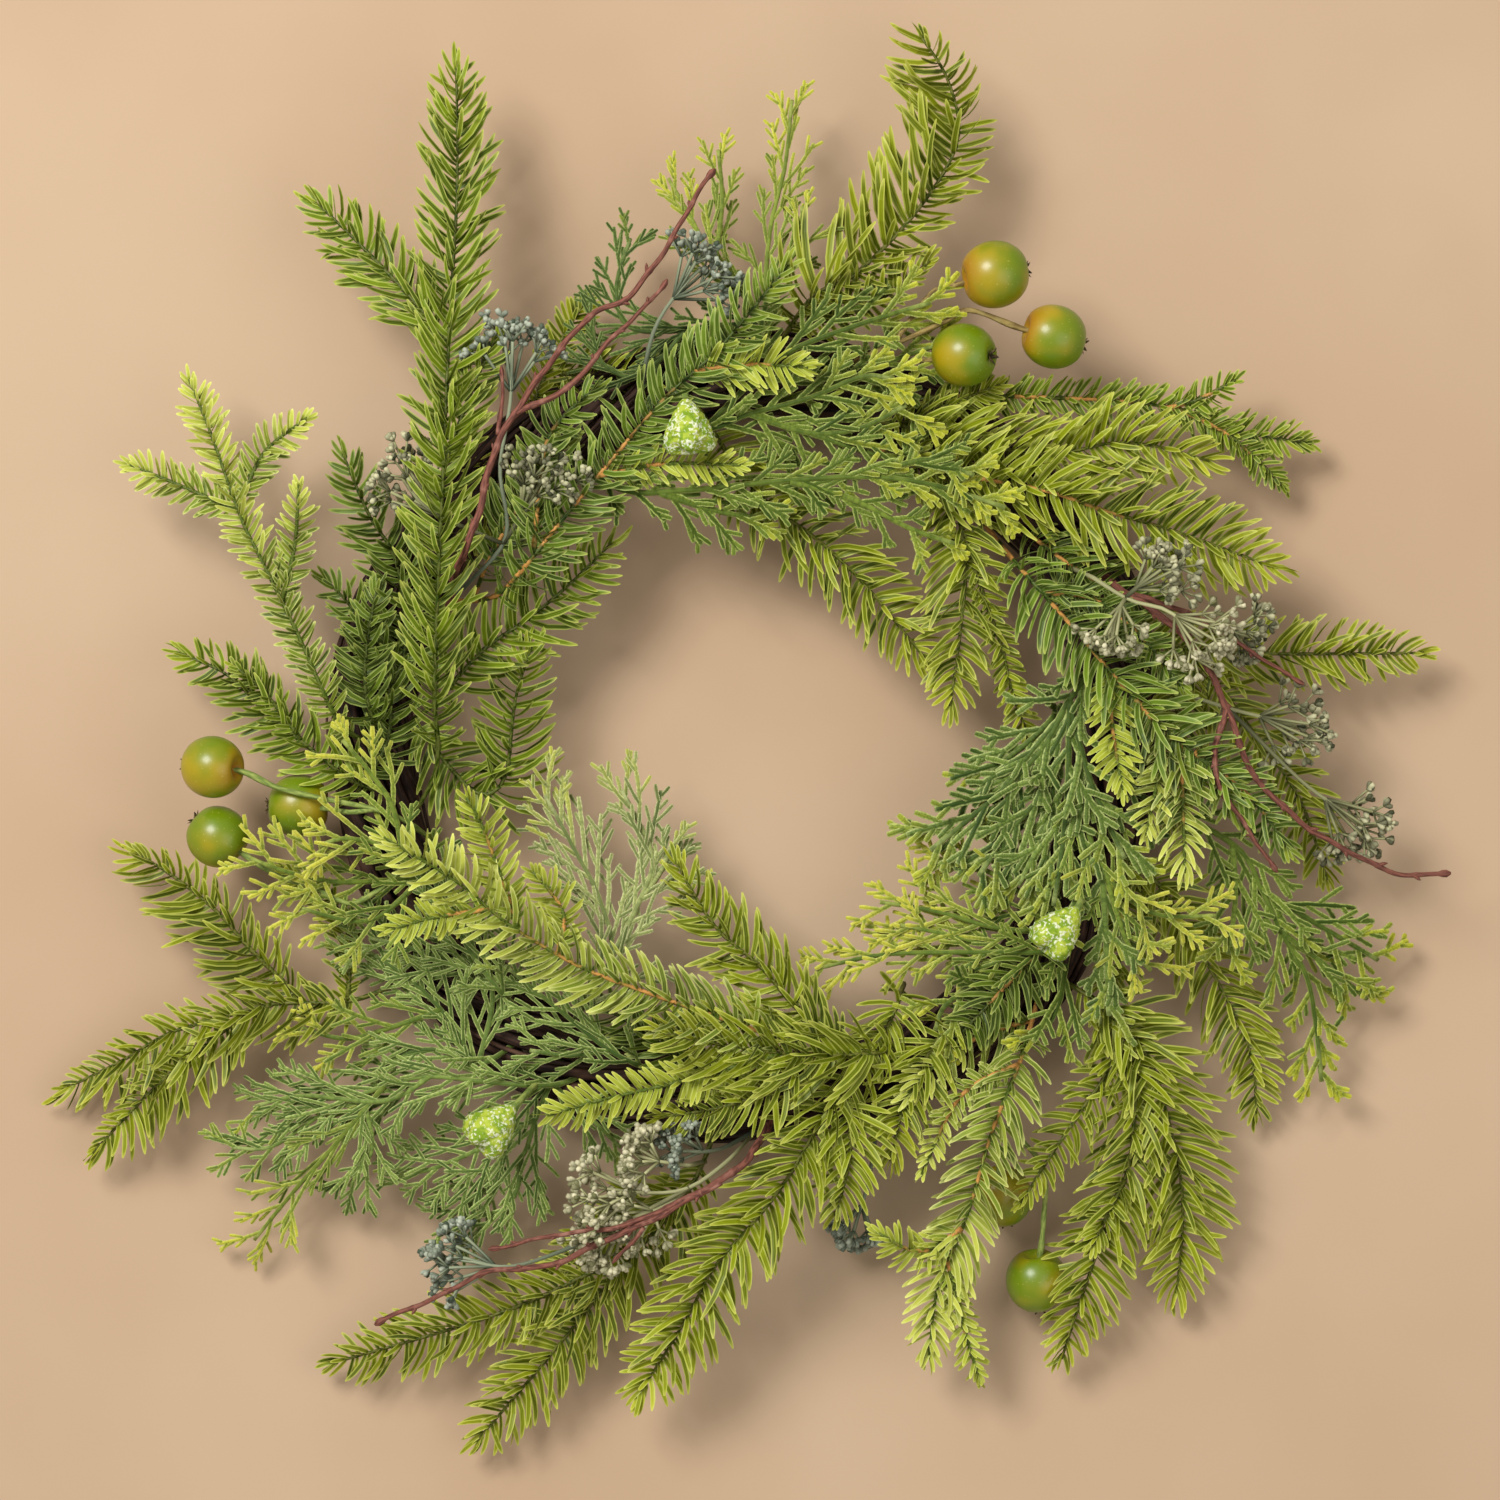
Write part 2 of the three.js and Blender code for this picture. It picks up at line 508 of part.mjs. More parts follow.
CONES.forEach(([name, spot, height, toward, root]) => {
  const middle = new THREE.Vector3(onGrid(spot).x, onGrid(spot).y, height);
  const foot = new THREE.Vector3(onGrid(root).x, onGrid(root).y, ROOT_HEIGHT);
  add(name, 'cone', (grow) => {
    const stem = stalk(new THREE.LineCurve3(foot, middle), STALK_RADIUS, STALK_RADIUS, grow);
    return turned(cone(grow), toward, 0, middle).add(stem);
  });
});

LAID.forEach(([name, kind, look, layer, shoots]) => {
  const colour = FINISHES[look] ? look : `${kind}_${look}`;
  add(name, colour, (grow) => laidPiece(kind, layer, shoots, grow));
});

// The origin is under the middle of the whole wreath, on the surface it lies on.
const extent = new THREE.Box3().setFromObject(wreath);
const middle = extent.getCenter(new THREE.Vector3());
wreath.position.set(-middle.x, -middle.y, -extent.min.z);

export default wreath;
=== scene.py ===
"""An evergreen wreath lying face up on a pale table, seen from straight above.

Every needle, scale, bud, stalk and vine is a bar: a small closed outline carried along a line,
with a width and a thickness at each step. Lines are drawn on a flat grid and lifted to the
height of their layer, as the sprays are laid on a ring of coiled vines. Lengths here are in
millimetres, and become metres when a piece's mesh is made.
"""
import math

import bpy
import numpy as np
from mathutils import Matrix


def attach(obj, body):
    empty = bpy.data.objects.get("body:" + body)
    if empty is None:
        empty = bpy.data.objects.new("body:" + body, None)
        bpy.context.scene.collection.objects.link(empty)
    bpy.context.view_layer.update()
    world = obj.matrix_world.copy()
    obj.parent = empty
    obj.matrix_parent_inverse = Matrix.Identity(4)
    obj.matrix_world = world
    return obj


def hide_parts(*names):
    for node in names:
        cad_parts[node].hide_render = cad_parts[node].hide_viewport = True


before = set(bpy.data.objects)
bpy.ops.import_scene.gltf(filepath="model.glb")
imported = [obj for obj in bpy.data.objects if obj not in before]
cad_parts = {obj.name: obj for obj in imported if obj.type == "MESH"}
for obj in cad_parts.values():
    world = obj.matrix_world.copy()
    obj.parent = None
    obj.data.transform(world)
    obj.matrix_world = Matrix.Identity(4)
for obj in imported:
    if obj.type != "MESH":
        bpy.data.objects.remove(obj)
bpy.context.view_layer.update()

# Layout grid: x to the right and y downwards, as the routes below are drawn.
GRID_STEP = 0.43
GRID_WIDTH = 1500
GRID_MIDDLE = np.array([745.0, 740.0])
VIEW_MIDDLE = "750,750"
# From the ring's middle, at the foot of its bundle, to the frame's origin.
TO_FRAME = np.array([-2.2332, -0.4262, -0.5566])
MILLIMETRE = 0.001
CLEAR_OF_TABLE = 0.05
TINY = 1e-9

# The ring of vines. The cuts are the turns at which one vine ends and the next one starts.
RING_RADIUS = 160.0
RING_TURNS = 12
BUNDLE_RADIUS = 14.5
VINE_RADIUS = 3.2
TWISTS_PER_TURN = 3 + 1 / RING_TURNS
VINE_CUTS = [0.02, 3.2, 5.9, 9.35]
VINE_GAP = 0.045
RING_WAVE = 3.0
FINE_WAVE = 1.5
LOOSENESS = 0.8
RING_HEIGHT = BUNDLE_RADIUS + VINE_RADIUS + 0.4

# The layers of greenery: a mound that is highest over the ring. A shoot rises from its root to
# its layer over the rise share of its length, unless it forks from another within reach.
ROOT_HEIGHT = RING_HEIGHT + 11
LOWEST_LAYER = 31.0
LAYER_STEP = 8.0
RISE_SHARE = 0.22
MOUND_RADIUS = 175.0
RIM_RADIUS = 310.0
RIM_SINK = 4.0
RIM_SHARE = 0.45
INNER_SHARE = 0.8
INNER_SLOPE = 100.0
FORK_REACH = 5.0

LINE_POINTS = 60
STEPS_PER_KNOT = 20
UP = np.array([0.0, 0.0, 1.0])

# The palette that greenery is coloured from: columns of one small map, first the leaves' ages
# and the tints of each, then the stems. A part of each column is left free at both its sides.
COLUMNS = 24
COLUMN_MARGIN = 0.1
AGES = 4
TINTS = 4
STEM_COLUMN = AGES * TINTS
GREEN_STEM = STEM_COLUMN
ORANGE_STEM = STEM_COLUMN + 4

# ------------------------------------------------------------------ layout, drawn on the grid

# A laid piece: name, kind, look, layer, then its shoots. A shoot is its route on the grid, its
# half width (of its leaves, or the radius of a head of buds or of a twig), how far its tip rises
# or sinks and, where it must meet something, its tip's own height.
LAID = [
    ("apple_stalk_bottom", "stalk", "green", 1, [
        ("985,1075 990,1115 1000,1166 1005,1201", 0, 0, 20),
        ("990,1115 1042,1165 1046,1225 1040,1287", 0, 0, 18)]),
    ("apple_stalk_top", "stalk", "tan", 2.8, [
        ("830,372 893,346 943,324 969,312 1018,330 1052,339", 0, 0, 58),
        ("838,368 880,360 928,361 963,357", 0, 0, 57),
        ("893,346 930,296 957,287 993,278", 0, 0, 62)]),
    ("fir_left_low", "fir", "olive", 0, [
        ("395,985 345,1003 268,1006 214,1021 161,1037 115,1064 52,1095", 11, -14),
        ("268,1006 230,1025 191,1056 153,1087 115,1125 85,1158", 10, -8),
        ("300,1002 245,949 214,914 172,880 126,851", 12, -4),
        ("345,1003 345,935 320,892 276,868", 8, -8)]),
    ("fir_behind_top_left", "fir", "olive", 0, [
        ("520,430 545,370 566,325 588,292", 9, -10),
        ("545,370 590,372 640,372 690,360", 10, -4),
        ("520,430 500,470 470,520 440,560", 10, 0)]),
    ("fir_right_outer", "fir", "olive", 0.4, [
        ("1090,620 1190,648 1267,653 1359,653 1430,652", 11, -4),
        ("1190,648 1232,700 1262,740 1305,800 1335,882", 11, -14),
        ("1190,648 1180,700 1175,770 1172,830", 11, -4)]),
    ("fir_lower_right_back", "fir", "olive", 0, [
        ("1110,830 1165,890 1191,932 1225,990 1256,1055 1264,1120", 12, -14),
        ("1130,850 1128,900 1125,950 1112,1000", 11, 0)]),
    ("fir_left_shoulder", "fir", "deep", 1.3, [
        ("400,800 350,780 314,752 265,713 226,675 175,652", 11, -6),
        ("300,740 262,690 232,665", 8, 2),
        ("362,785 388,735 385,667 366,630 345,600 322,577", 10, -2),
        ("390,690 405,640 395,560 368,514 342,453", 11, 0)]),
    ("apple_stalk_left", "stalk", "green", 2.6, [
        ("440,850 408,822 376,809 332,800 280,788 245,772 213,767", 0, 0, 48),
        ("412,826 400,870 358,902 332,897 312,886 280,877 248,858 216,837", 0, 0, 38),
        ("376,809 350,812 330,809 297,806", 0, 0, 36)]),
    ("seeded_bottom", "seeded", "blue", 0.4, [
        ("880,1110 870,1180 858,1225 850,1250", 13, -16)]),
    ("fir_bottom_left", "fir", "olive", 0.5, [
        ("720,1120 690,1190 640,1250 598,1299 568,1337 530,1383 473,1450", 13, -12),
        ("640,1250 537,1302 453,1333 325,1372", 11, -14),
        ("690,1190 640,1210 590,1240 545,1275", 10, -8)]),
    ("fir_under_apples", "fir", "green", 0.9, [
        ("880,400 960,395 1046,396 1136,400 1190,410 1240,428 1318,440", 9, -12),
        ("1190,410 1240,438 1292,486", 7, -14),
        ("1170,405 1200,398 1238,378", 8, 4)]),
    ("cedar_top", "cedar", "wispy", 1.4, [
        ("770,380 765,310 770,230 785,165 792,98", 11, 6),
        ("766,320 715,260 690,215 668,176", 9, 0),
        ("715,260 722,200 718,148", 8, 4),
        ("768,280 800,245 802,206", 7, 8),
        ("766,320 640,330 616,290 630,236", 9, -4),
        ("690,325 640,375 600,360 592,318", 9, -2)]),
    ("fir_bottom_right_fan", "fir", "lime", 1.4, [
        ("1040,970 1110,1010 1150,1060 1170,1120 1184,1180 1187,1235 1182,1302", 15, -16),
        ("1110,1010 1135,1060 1135,1130 1127,1182 1100,1255 1065,1366", 13, -12),
        ("1100,1000 1112,1060 1082,1112 1046,1165 1022,1205", 14, 0),
        ("1127,1182 1110,1215 1092,1250", 9, 4)]),
    ("cedar_bottom_fan", "cedar", "fine", 1, [
        ("560,1060 535,1120 520,1160 480,1195 440,1228", 12, -12),
        ("535,1120 480,1150 430,1172 396,1180", 11, -14),
        ("520,1160 512,1200 470,1240", 9, -10),
        ("550,1085 590,1120 620,1150", 9, -6)]),
    ("cedar_bottom_left", "cedar", "fine", 1.8, [
        ("600,1065 559,1085 497,1083 429,1077 383,1087 325,1113 268,1150 226,1152", 11, -14),
        ("383,1087 330,1150 290,1195 248,1246", 12, -16),
        ("429,1077 383,1102 300,1098 250,1110", 10, -14),
        ("360,1097 370,1150 345,1190", 10, -12)]),
    ("cedar_left_low", "cedar", "fine", 1.2, [
        ("520,1040 478,1064 452,1025 415,985 360,948", 12, -4),
        ("478,1064 490,985 430,955 368,938", 12, 0),
        ("440,1010 400,1025 345,1040 300,1030", 11, -8),
        ("478,1064 430,1050 380,1062", 9, -4)]),
    ("seeded_top", "seeded", "blue", 2.4, [
        ("640,400 655,330 690,280 715,262", 19, 4)]),
    ("fir_tall_top", "fir", "olive", 2.4, [
        ("760,372 811,300 858,273 921,206 958,140 948,80 920,36", 15, 12),
        ("790,325 830,320 880,300 930,262", 10, 2)]),
    ("fir_inner_left", "fir", "green", 1.4, [
        ("410,720 437,700 483,650 529,618 571,583 612,543", 13, 6),
        ("410,720 470,790 503,780 515,700 532,645", 13, 4)]),
    ("fir_inner_top", "fir", "lime", 1.7, [
        ("690,392 735,465 770,505 805,530 832,552 868,588 904,632 928,662", 13, 0)]),
    ("fir_inner_top_right", "fir", "lime", 2.1, [
        ("920,430 950,480 960,523 965,577 959,640 950,706", 13, 2),
        ("960,523 985,600 1003,650 1012,690 1034,748", 7, -12)]),
    ("fir_broad_top_right", "fir", "lime", 1.9, [
        ("840,410 900,425 960,440 1046,455 1113,443 1158,447 1209,461", 14, 4),
        ("900,425 960,400 1000,385", 9, 0)]),
    ("fir_long_top_right", "fir", "lime", 2.8, [
        ("858,420 885,450 930,468 975,479 1046,492 1104,512 1167,530 1225,550 1274,568", 15, 2)]),
    ("cedar_right_low", "cedar", "scaled", 2, [
        ("1130,790 1233,844 1263,890 1283,932 1313,986 1328,1085", 11, -14),
        ("1263,890 1320,925 1384,962", 10, -10),
        ("1283,932 1340,975 1374,1002", 9, -14),
        ("1233,844 1236,900 1230,955", 11, -4)]),
    ("cedar_inner_right", "cedar", "scaled", 2.4, [
        ("1095,935 1000,928 940,912 880,902", 12, -2),
        ("1090,950 1020,952 950,952 880,955 815,969", 10, -4),
        ("1060,960 1010,980 950,1000 935,1030", 11, 0),
        ("1070,950 1060,1000 1045,1030", 11, 0)]),
    ("cedar_inner_left", "cedar", "pale", 2.4, [
        ("560,1040 610,960 600,900 575,850 545,795", 12, 0),
        ("610,960 640,900 652,855 622,790", 11, 2),
        ("640,900 662,870 672,842", 7, 0)]),
    ("fir_bottom_tipped", "fir", "tipped", 2.8, [
        ("1045,985 1018,1063 1001,1105 987,1144 973,1196 958,1240 938,1290 930,1362", 11, -8),
        ("962,1228 920,1252 874,1230", 9, -2),
        ("948,1262 962,1320 982,1388", 7, -10),
        ("1018,1063 960,1095 921,1176", 9, -6),
        ("1035,1020 985,1035 940,1060 905,1095", 10, 0)]),
    ("fir_bottom_broad", "fir", "lime", 3.2, [
        ("920,1040 843,1088 790,1172 759,1214 713,1268 687,1318 638,1398", 14, -4),
        ("843,1088 850,1150 835,1215", 13, -6)]),
    ("cedar_right_fan", "cedar", "broad", 3.2, [
        ("1115,640 1068,700 1040,750 990,800 930,850", 13, -2),
        ("1068,700 1066,790 1060,850 1052,905", 11, 2),
        ("1068,700 1085,770 1105,820 1122,858", 12, 4),
        ("1066,760 1080,810 1103,871 1150,912 1215,915", 11, 0),
        ("1103,871 1125,940 1150,970", 10, -4),
        ("1100,865 1105,950 1108,1015", 9, -4)]),
    ("cedar_left_yellow", "cedar", "yellow", 2.8, [
        ("440,885 395,850 350,838 322,845", 11, 4),
        ("430,878 340,882 290,872 252,858", 11, 2),
        ("425,875 370,920 300,907", 10, 0),
        ("405,860 394,807 370,770 345,740", 10, 6)]),
    ("cedar_tufted_top", "cedar", "scaled", 3.4, [
        ("672,400 705,430 749,416 810,400 860,380 893,382", 12, 8),
        ("749,416 810,435 860,430 905,408", 12, 6),
        ("705,430 780,360 850,330 930,305", 12, 2),
        ("810,435 870,455 930,470", 9, 2)]),
    ("cedar_long_top", "cedar", "scaled", 4, [
        ("560,440 620,490 685,492 779,483 868,479 935,488 1003,510", 9, 4),
        ("868,479 925,462 972,478", 8, 4),
        ("790,484 850,500 910,530 955,545", 8, -6),
        ("660,495 715,512 765,520", 9, -4)]),
    ("fir_forked_left", "fir", "tipped", 3.2, [
        ("400,760 349,732 330,702 301,637 265,564 242,518 211,434 188,378", 9, 2),
        ("240,512 177,484 126,463", 9, -2),
        ("243,500 265,453 309,419", 9, 4),
        ("284,602 297,545 301,486", 8, 6)]),
    ("fir_orange_top_left", "fir", "blue", 4, [
        ("440,600 490,598 520,575 560,526 593,486 623,450 669,398 720,352 788,270", 11, 8),
        ("600,478 666,466 742,468", 9, 6),
        ("695,375 750,368 808,372", 11, 8),
        ("535,555 545,460 560,425 598,390", 10, 2)]),
    ("fir_orange_right", "fir", "blue", 4.2, [
        ("985,520 1022,573 1068,626 1107,672 1153,722 1206,768 1232,812", 13, 2),
        ("1105,672 1110,737 1119,790", 10, 6),
        ("1176,745 1179,806 1181,872", 11, 2),
        ("1190,752 1250,800 1288,852", 11, -4),
        ("1040,595 1090,600 1140,640 1180,690", 9, -2),
        ("1130,697 1160,740 1152,790 1142,835", 9, 0)]),
    ("fir_bottom_across", "fir", "lime", 4, [
        ("925,1045 884,1050 812,1053 732,1044 665,1030", 15, 6),
        ("780,1052 679,1079 610,1095 549,1112", 10, 2),
        ("850,1050 800,1010 760,965 715,925 676,862", 12, -4),
        ("812,1053 775,1085 720,1105 660,1115", 11, -6)]),
    ("seeded_top_left", "seeded", "blue", 3.5, [
        ("435,610 505,545 502,470 513,400 514,325", 22, 10),
        ("505,545 536,496 556,462", 21, 17),
        ("505,545 430,510 396,466", 21, -2)]),
    ("fir_tall_left", "fir", "green", 4.2, [
        ("400,830 436,770 437,700 440,600 446,480 452,330 458,200 457,66", 12, 8),
        ("450,350 430,320 380,265 330,215 312,200", 12, 0),
        ("446,470 480,380 500,340", 10, 4)]),
    ("fir_yellow_lower_left", "fir", "tipped", 4.6, [
        ("840,1085 790,1042 692,1006 647,990 589,968 540,941 500,914 460,880 388,836", 11, 6),
        ("520,925 500,865 484,822 470,797", 10, 8),
        ("492,908 440,915 391,928", 9, 6),
        ("560,952 565,910 535,870", 9, 8)]),
    ("red_twig_right", "twig", "red", 4.9, [
        ("1068,561 1099,569 1126,596 1183,640 1221,707 1237,745 1254,783 1321,837 1390,871 1450,873",
         2, 4),
        ("1221,707 1212,745 1214,783 1237,821 1275,871", 1.6, 0),
        ("1126,596 1183,612 1229,642 1302,684", 1.5, 0)]),
    ("seeded_right", "seeded", "cream", 5.6, [
        ("1060,560 1120,600 1160,612 1190,635 1212,648", 22, 6),
        ("1120,600 1150,575 1178,558", 17, 2),
        ("1120,600 1110,620 1106,650", 13, 0)]),
    ("seeded_right_outer", "seeded", "grey", 3.2, [
        ("1110,670 1225,708 1285,722 1316,730", 20, 0),
        ("1225,708 1300,780 1345,812 1372,838", 18, -6)]),
    ("seeded_lower_left", "seeded", "cream", 3.3, [
        ("760,1130 690,1185 620,1190 580,1202", 20, 6),
        ("690,1185 620,1225 582,1262", 16, 0),
        ("620,1225 520,1265 465,1262 428,1258", 20, -10),
        ("760,1130 720,1150 680,1148 664,1138", 15, 2)]),
    ("red_twig_top_left", "twig", "red", 6, [
        ("440,650 452,595 483,514 506,438 548,378 591,323 634,303 682,230 715,176", 2, 10),
        ("518,421 571,392 601,361 655,304 668,287", 1.6, 8),
        ("503,440 506,415 505,372", 1.2, 4)]),
    ("red_twig_lower_left", "twig", "red", 5.2, [
        ("790,1092 760,1140 721,1176 644,1218 560,1258 491,1270 445,1291 375,1325", 2, 0),
        ("721,1176 644,1214 568,1230 490,1245", 1.6, 2),
        ("644,1222 614,1260", 1.2, 0)]),
]

# Short shoots that fill in between the sprays, close over the vines: the spray they belong to,
# then kind, look, layer and shoots as above. The fir fillers in the dark deep look are painted
# shade, low among the sprays.
FILLERS = [
    ("seeded_right", "seeded", "grey", 3.6, [
        ("1190,620 1225,630 1256,640", 13, 0)]),
    ("seeded_lower_left", "seeded", "cream", 3.3, [
        ("705,1165 665,1160 628,1150", 16, 3),
        ("690,1190 655,1208 622,1226", 17, 3)]),
    ("cedar_right_fan", "cedar", "broad", 2.6, [
        ("1072,745 1045,790 1010,830 978,876", 12, 0),
        ("1060,770 1045,830 1018,885", 11, 0),
        ("1064,705 1030,740 985,775", 10, 0)]),
    ("cedar_inner_right", "cedar", "yellow", 2.0, [
        ("1080,925 1040,905 985,870 935,862", 11, 0),
        ("1065,955 1010,950 950,935 900,925", 11, 2)]),
    ("cedar_bottom_left", "cedar", "fine", 2.2, [
        ("665,1078 610,1050 560,1010 505,965", 12, 0),
        ("610,1050 570,1055 530,1050", 9, 0)]),
    ("cedar_left_low", "cedar", "fine", 2.2, [
        ("520,1015 480,965 450,915 430,870", 11, 0)]),
    ("fir_bottom_across", "fir", "deep", 2.0, [
        ("740,1080 690,1062 640,1030 595,1000", 11, 0)]),
    ("fir_bottom_broad", "fir", "lime", 2.4, [
        ("965,1005 930,1050 905,1100 890,1160", 12, 0),
        ("905,985 885,1030 855,1075", 11, 0)]),
    ("fir_bottom_tipped", "fir", "deep", 2.0, [
        ("1062,925 1022,968 985,1008 945,1050", 11, 0)]),
    ("fir_left_shoulder", "fir", "deep", 2.0, [
        ("382,745 366,692 368,640 378,585", 10, 0)]),
    ("cedar_tufted_top", "cedar", "scaled", 2.4, [
        ("770,402 830,386 890,362 940,345", 10, 0)]),
    ("fir_long_top_right", "fir", "deep", 2.0, [
        ("1010,518 1060,558 1110,588 1165,602", 11, 0)]),
    ("fir_orange_top_left", "fir", "blue", 2.2, [
        ("470,600 500,540 530,490 570,440", 11, 0)]),
]

# A crab apple: name, middle on the grid, height, radius, the way its stalk end looks in degrees
# anticlockwise from +X, how far that end tips up, and how ripe it is.
APPLES = [
    ("apple_top_upper", "993,278", 62, 14.4, 190, 5, 1),
    ("apple_top_lower", "963,357", 57, 13.7, 175, -30, 0.78),
    ("apple_top_outer", "1052,339", 58, 13.8, 165, 10, 1),
    ("apple_left_upper", "213,767", 47, 13.4, -5, 25, 0.98),
    ("apple_left_lower", "216,837", 38, 13.1, -38, 5, 0.84),
    ("apple_left_inner", "297,806", 36, 13.4, 0, 0, 0.86),
    ("apple_bottom_inner", "1005,1201", 20, 13.0, 100, 20, 0.72),
    ("apple_bottom_outer", "1040,1287", 18, 13.5, 97, 15, 0.6),
]

# A small cone: name, middle on the grid, height, the way its narrow end looks, and its root.
CONES = [
    ("cone_top", "689,431", 74, 95, "676,374"),
    ("cone_lower_left", "496,1124", 62, 45, "545,1075"),
    ("cone_right", "1056,928", 70, 50, "1082,880"),
]
CONE_LENGTH = 22.0

# How much of a spray's length is young growth, by look.
YOUNG = {"olive": 0.15, "deep": 0.1, "green": 0.15, "lime": 0.25, "blue": 0.15, "tipped": 0.6,
         "sprout": 1.0, "fine": 0.1, "broad": 0.3, "scaled": 0.45, "yellow": 0.7, "wispy": 0.55,
         "dusky": 0.1, "pale": 0.3}
# Single shoots that look unlike the rest of their spray: by look, then their numbers in sprays.
ODD_SHOOTS = {
    "sprout": {"fir_orange_right": [1], "fir_orange_top_left": [1, 2],
               "fir_yellow_lower_left": [1, 2, 3], "fir_bottom_tipped": [1, 2],
               "fir_bottom_across": [1]},
    "tipped": {"fir_orange_right": [2, 5]},
    "green": {"fir_left_shoulder": [0, 1]},
    "yellow": {"cedar_left_low": [2], "cedar_right_fan": [3, 4], "cedar_inner_right": [0, 1]},
    "dusky": {"cedar_top": [4, 5]},
    "wispy": {"cedar_bottom_left": [1]},
    "blue": {"seeded_lower_left": [2, 3]},
    "grey": {"seeded_right": [1], "seeded_top_left": [1, 2]},
}
OWN_LOOKS = {(spray, number): look for look, sprays in ODD_SHOOTS.items()
             for spray, numbers in sprays.items() for number in numbers}
# Shoots whose needles are shorter than their spray's, by name and number in it.
SHORTER = {("fir_bottom_right_fan", 2): 0.62, ("fir_bottom_tipped", 3): 0.7}
ORANGE_STEMS = {"fir_orange_top_left", "fir_orange_right", "fir_long_top_right",
                "fir_under_apples", "fir_yellow_lower_left", "fir_bottom_tipped"}

# How needles grow. Those of thin shoots and sprouts are combed: shorter, closer and more alike.
# How far they reach is in half widths, their slant to the stem in degrees.
COMBED_WIDTH = 9
COMB_REACH, LONG_REACH = 1.2, 1.72
COMB_SLANT, LONG_SLANT = 66, 72
COMB_GAP, LONG_GAP = 0.95, 1.2
# Sprays whose long needles grow otherwise: how much longer on their left, and their slant.
NEEDLE_HABIT = {"fir_left_low": (0.3, 70), "fir_tall_left": (0.0, 63), "fir_tall_top": (0.32, 76),
                "fir_forked_left": (0.0, 66), "fir_bottom_across": (0.0, 66)}
# How each look of cedar grows: thickness, the angle of its forks and the gap between them.
CEDAR_HABIT = {"fine": (0.8, 29, 5.0), "yellow": (0.88, 35, 7.4), "pale": (0.84, 28, 5.6),
               "scaled": (1.08, 32, 7.4), "broad": (1.3, 31, 7.0), "wispy": (0.72, 24, 8.0),
               "dusky": (0.72, 22, 5.4)}


def on_grid(text):
    """Points on the grid as millimetres from the ring's middle."""
    pairs = np.array([pair.split(",") for pair in text.split()], float)
    return (pairs - GRID_MIDDLE) * np.array([GRID_STEP, -GRID_STEP])


def smooth(t):
    """3t² - 2t³ between 0 and 1, flat outside."""
    t = np.clip(t, 0.0, 1.0)
    return t * t * (3.0 - 2.0 * t)


def bell(t, width):
    """exp(-(t / width)²): 1 at 0, and next to nothing two widths away."""
    return np.exp(-(t / width) ** 2)


def unit(vectors):
    """Vectors of length one."""
    return vectors / np.maximum(np.linalg.norm(vectors, axis=-1, keepdims=True), TINY)


def even(line, count):
    """The same line with its points at even distances."""
    steps = np.linalg.norm(np.diff(line, axis=0), axis=1)
    at = np.concatenate([[0.0], np.cumsum(steps)])
    wanted = np.linspace(0.0, at[-1], count)
    return np.stack([np.interp(wanted, at, line[:, i]) for i in range(line.shape[1])], axis=1)


def flat_line(route):
    """A smooth line through a route's points: between two of them it is a cubic whose slope at
    each is half the step from the point before to the point after."""
    knots = on_grid(route)
    t = np.linspace(0.0, len(knots) - 1.0, STEPS_PER_KNOT * len(knots))
    i = np.minimum(t.astype(int), len(knots) - 2)
    w = (t - i)[:, None]
    before, start = knots[np.maximum(i - 1, 0)], knots[i]
    end, after = knots[i + 1], knots[np.minimum(i + 2, len(knots) - 1)]
    leave, arrive = (end - before) / 2.0, (after - start) / 2.0
    line = ((2 * start - 2 * end + leave + arrive) * w ** 3
            + (3 * end - 3 * start - 2 * leave - arrive) * w ** 2 + leave * w + start)
    return even(line, LINE_POINTS)


def layer_height(layer, radius):
    """The height of a layer's stems at a distance from the ring's middle: a mound, highest over
    the ring and lower towards the rim and into the opening."""
    outward = smooth((radius - MOUND_RADIUS) / (RIM_RADIUS - MOUND_RADIUS))
    inward = smooth((RING_RADIUS - radius) / INNER_SLOPE)
    share = 1.0 - (1.0 - RIM_SHARE) * outward - (1.0 - INNER_SHARE) * inward
    return LOWEST_LAYER - RIM_SINK * outward + LAYER_STEP * layer * share


def shoot_lines(layer, shoots):
    """A laid piece's shoots as lines in space. The first rises from the ring to its layer, and
    each later one starts at the height of the nearest shoot before it."""
    lines = []
    for route, _, rises, *own_tip in shoots:
        flat = flat_line(route)
        height = layer_height(layer, np.hypot(flat[:, 0], flat[:, 1]))
        share = np.linspace(0.0, 1.0, LINE_POINTS)
        lift = own_tip[0] - height[-1] if own_tip else rises
        foot, settle = ROOT_HEIGHT - height[0], RISE_SHARE
        if lines:
            before = np.concatenate(lines)
            gaps = np.hypot(*(before[:, :2] - flat[0]).T)
            if gaps.min() < FORK_REACH:
                foot, settle = before[gaps.argmin(), 2] - height[0], 1.0
        height = height + foot * (1.0 - smooth(share / settle)) + lift * share ** 2
        lines.append(np.column_stack([flat, height]))
    return lines


# ------------------------------------------------------------------ bars and meshes

# An outline is its points and their folds, which say where they lie across a palette column.

def round_outline(sides):
    """A circle, folded from 1 to 0 and back round it, so that the palette has no seam."""
    turn = np.arange(sides) * 2 * np.pi / sides
    return np.column_stack([np.cos(turn), np.sin(turn)]), np.abs(1.0 - 2.0 * np.arange(sides) / sides)


ROUND = {sides: round_outline(sides) for sides in (4, 5, 6, 8)}
RIM_FOLDS = np.array([1.0, 0.0, 1.0, 0.0])
# A needle: two pale rims with a shallow trough between them over a keel.
STRAP = (np.array([[1.0, 0.35], [0.0, 0.05], [-1.0, 0.35], [0.0, -0.55]]), RIM_FOLDS)
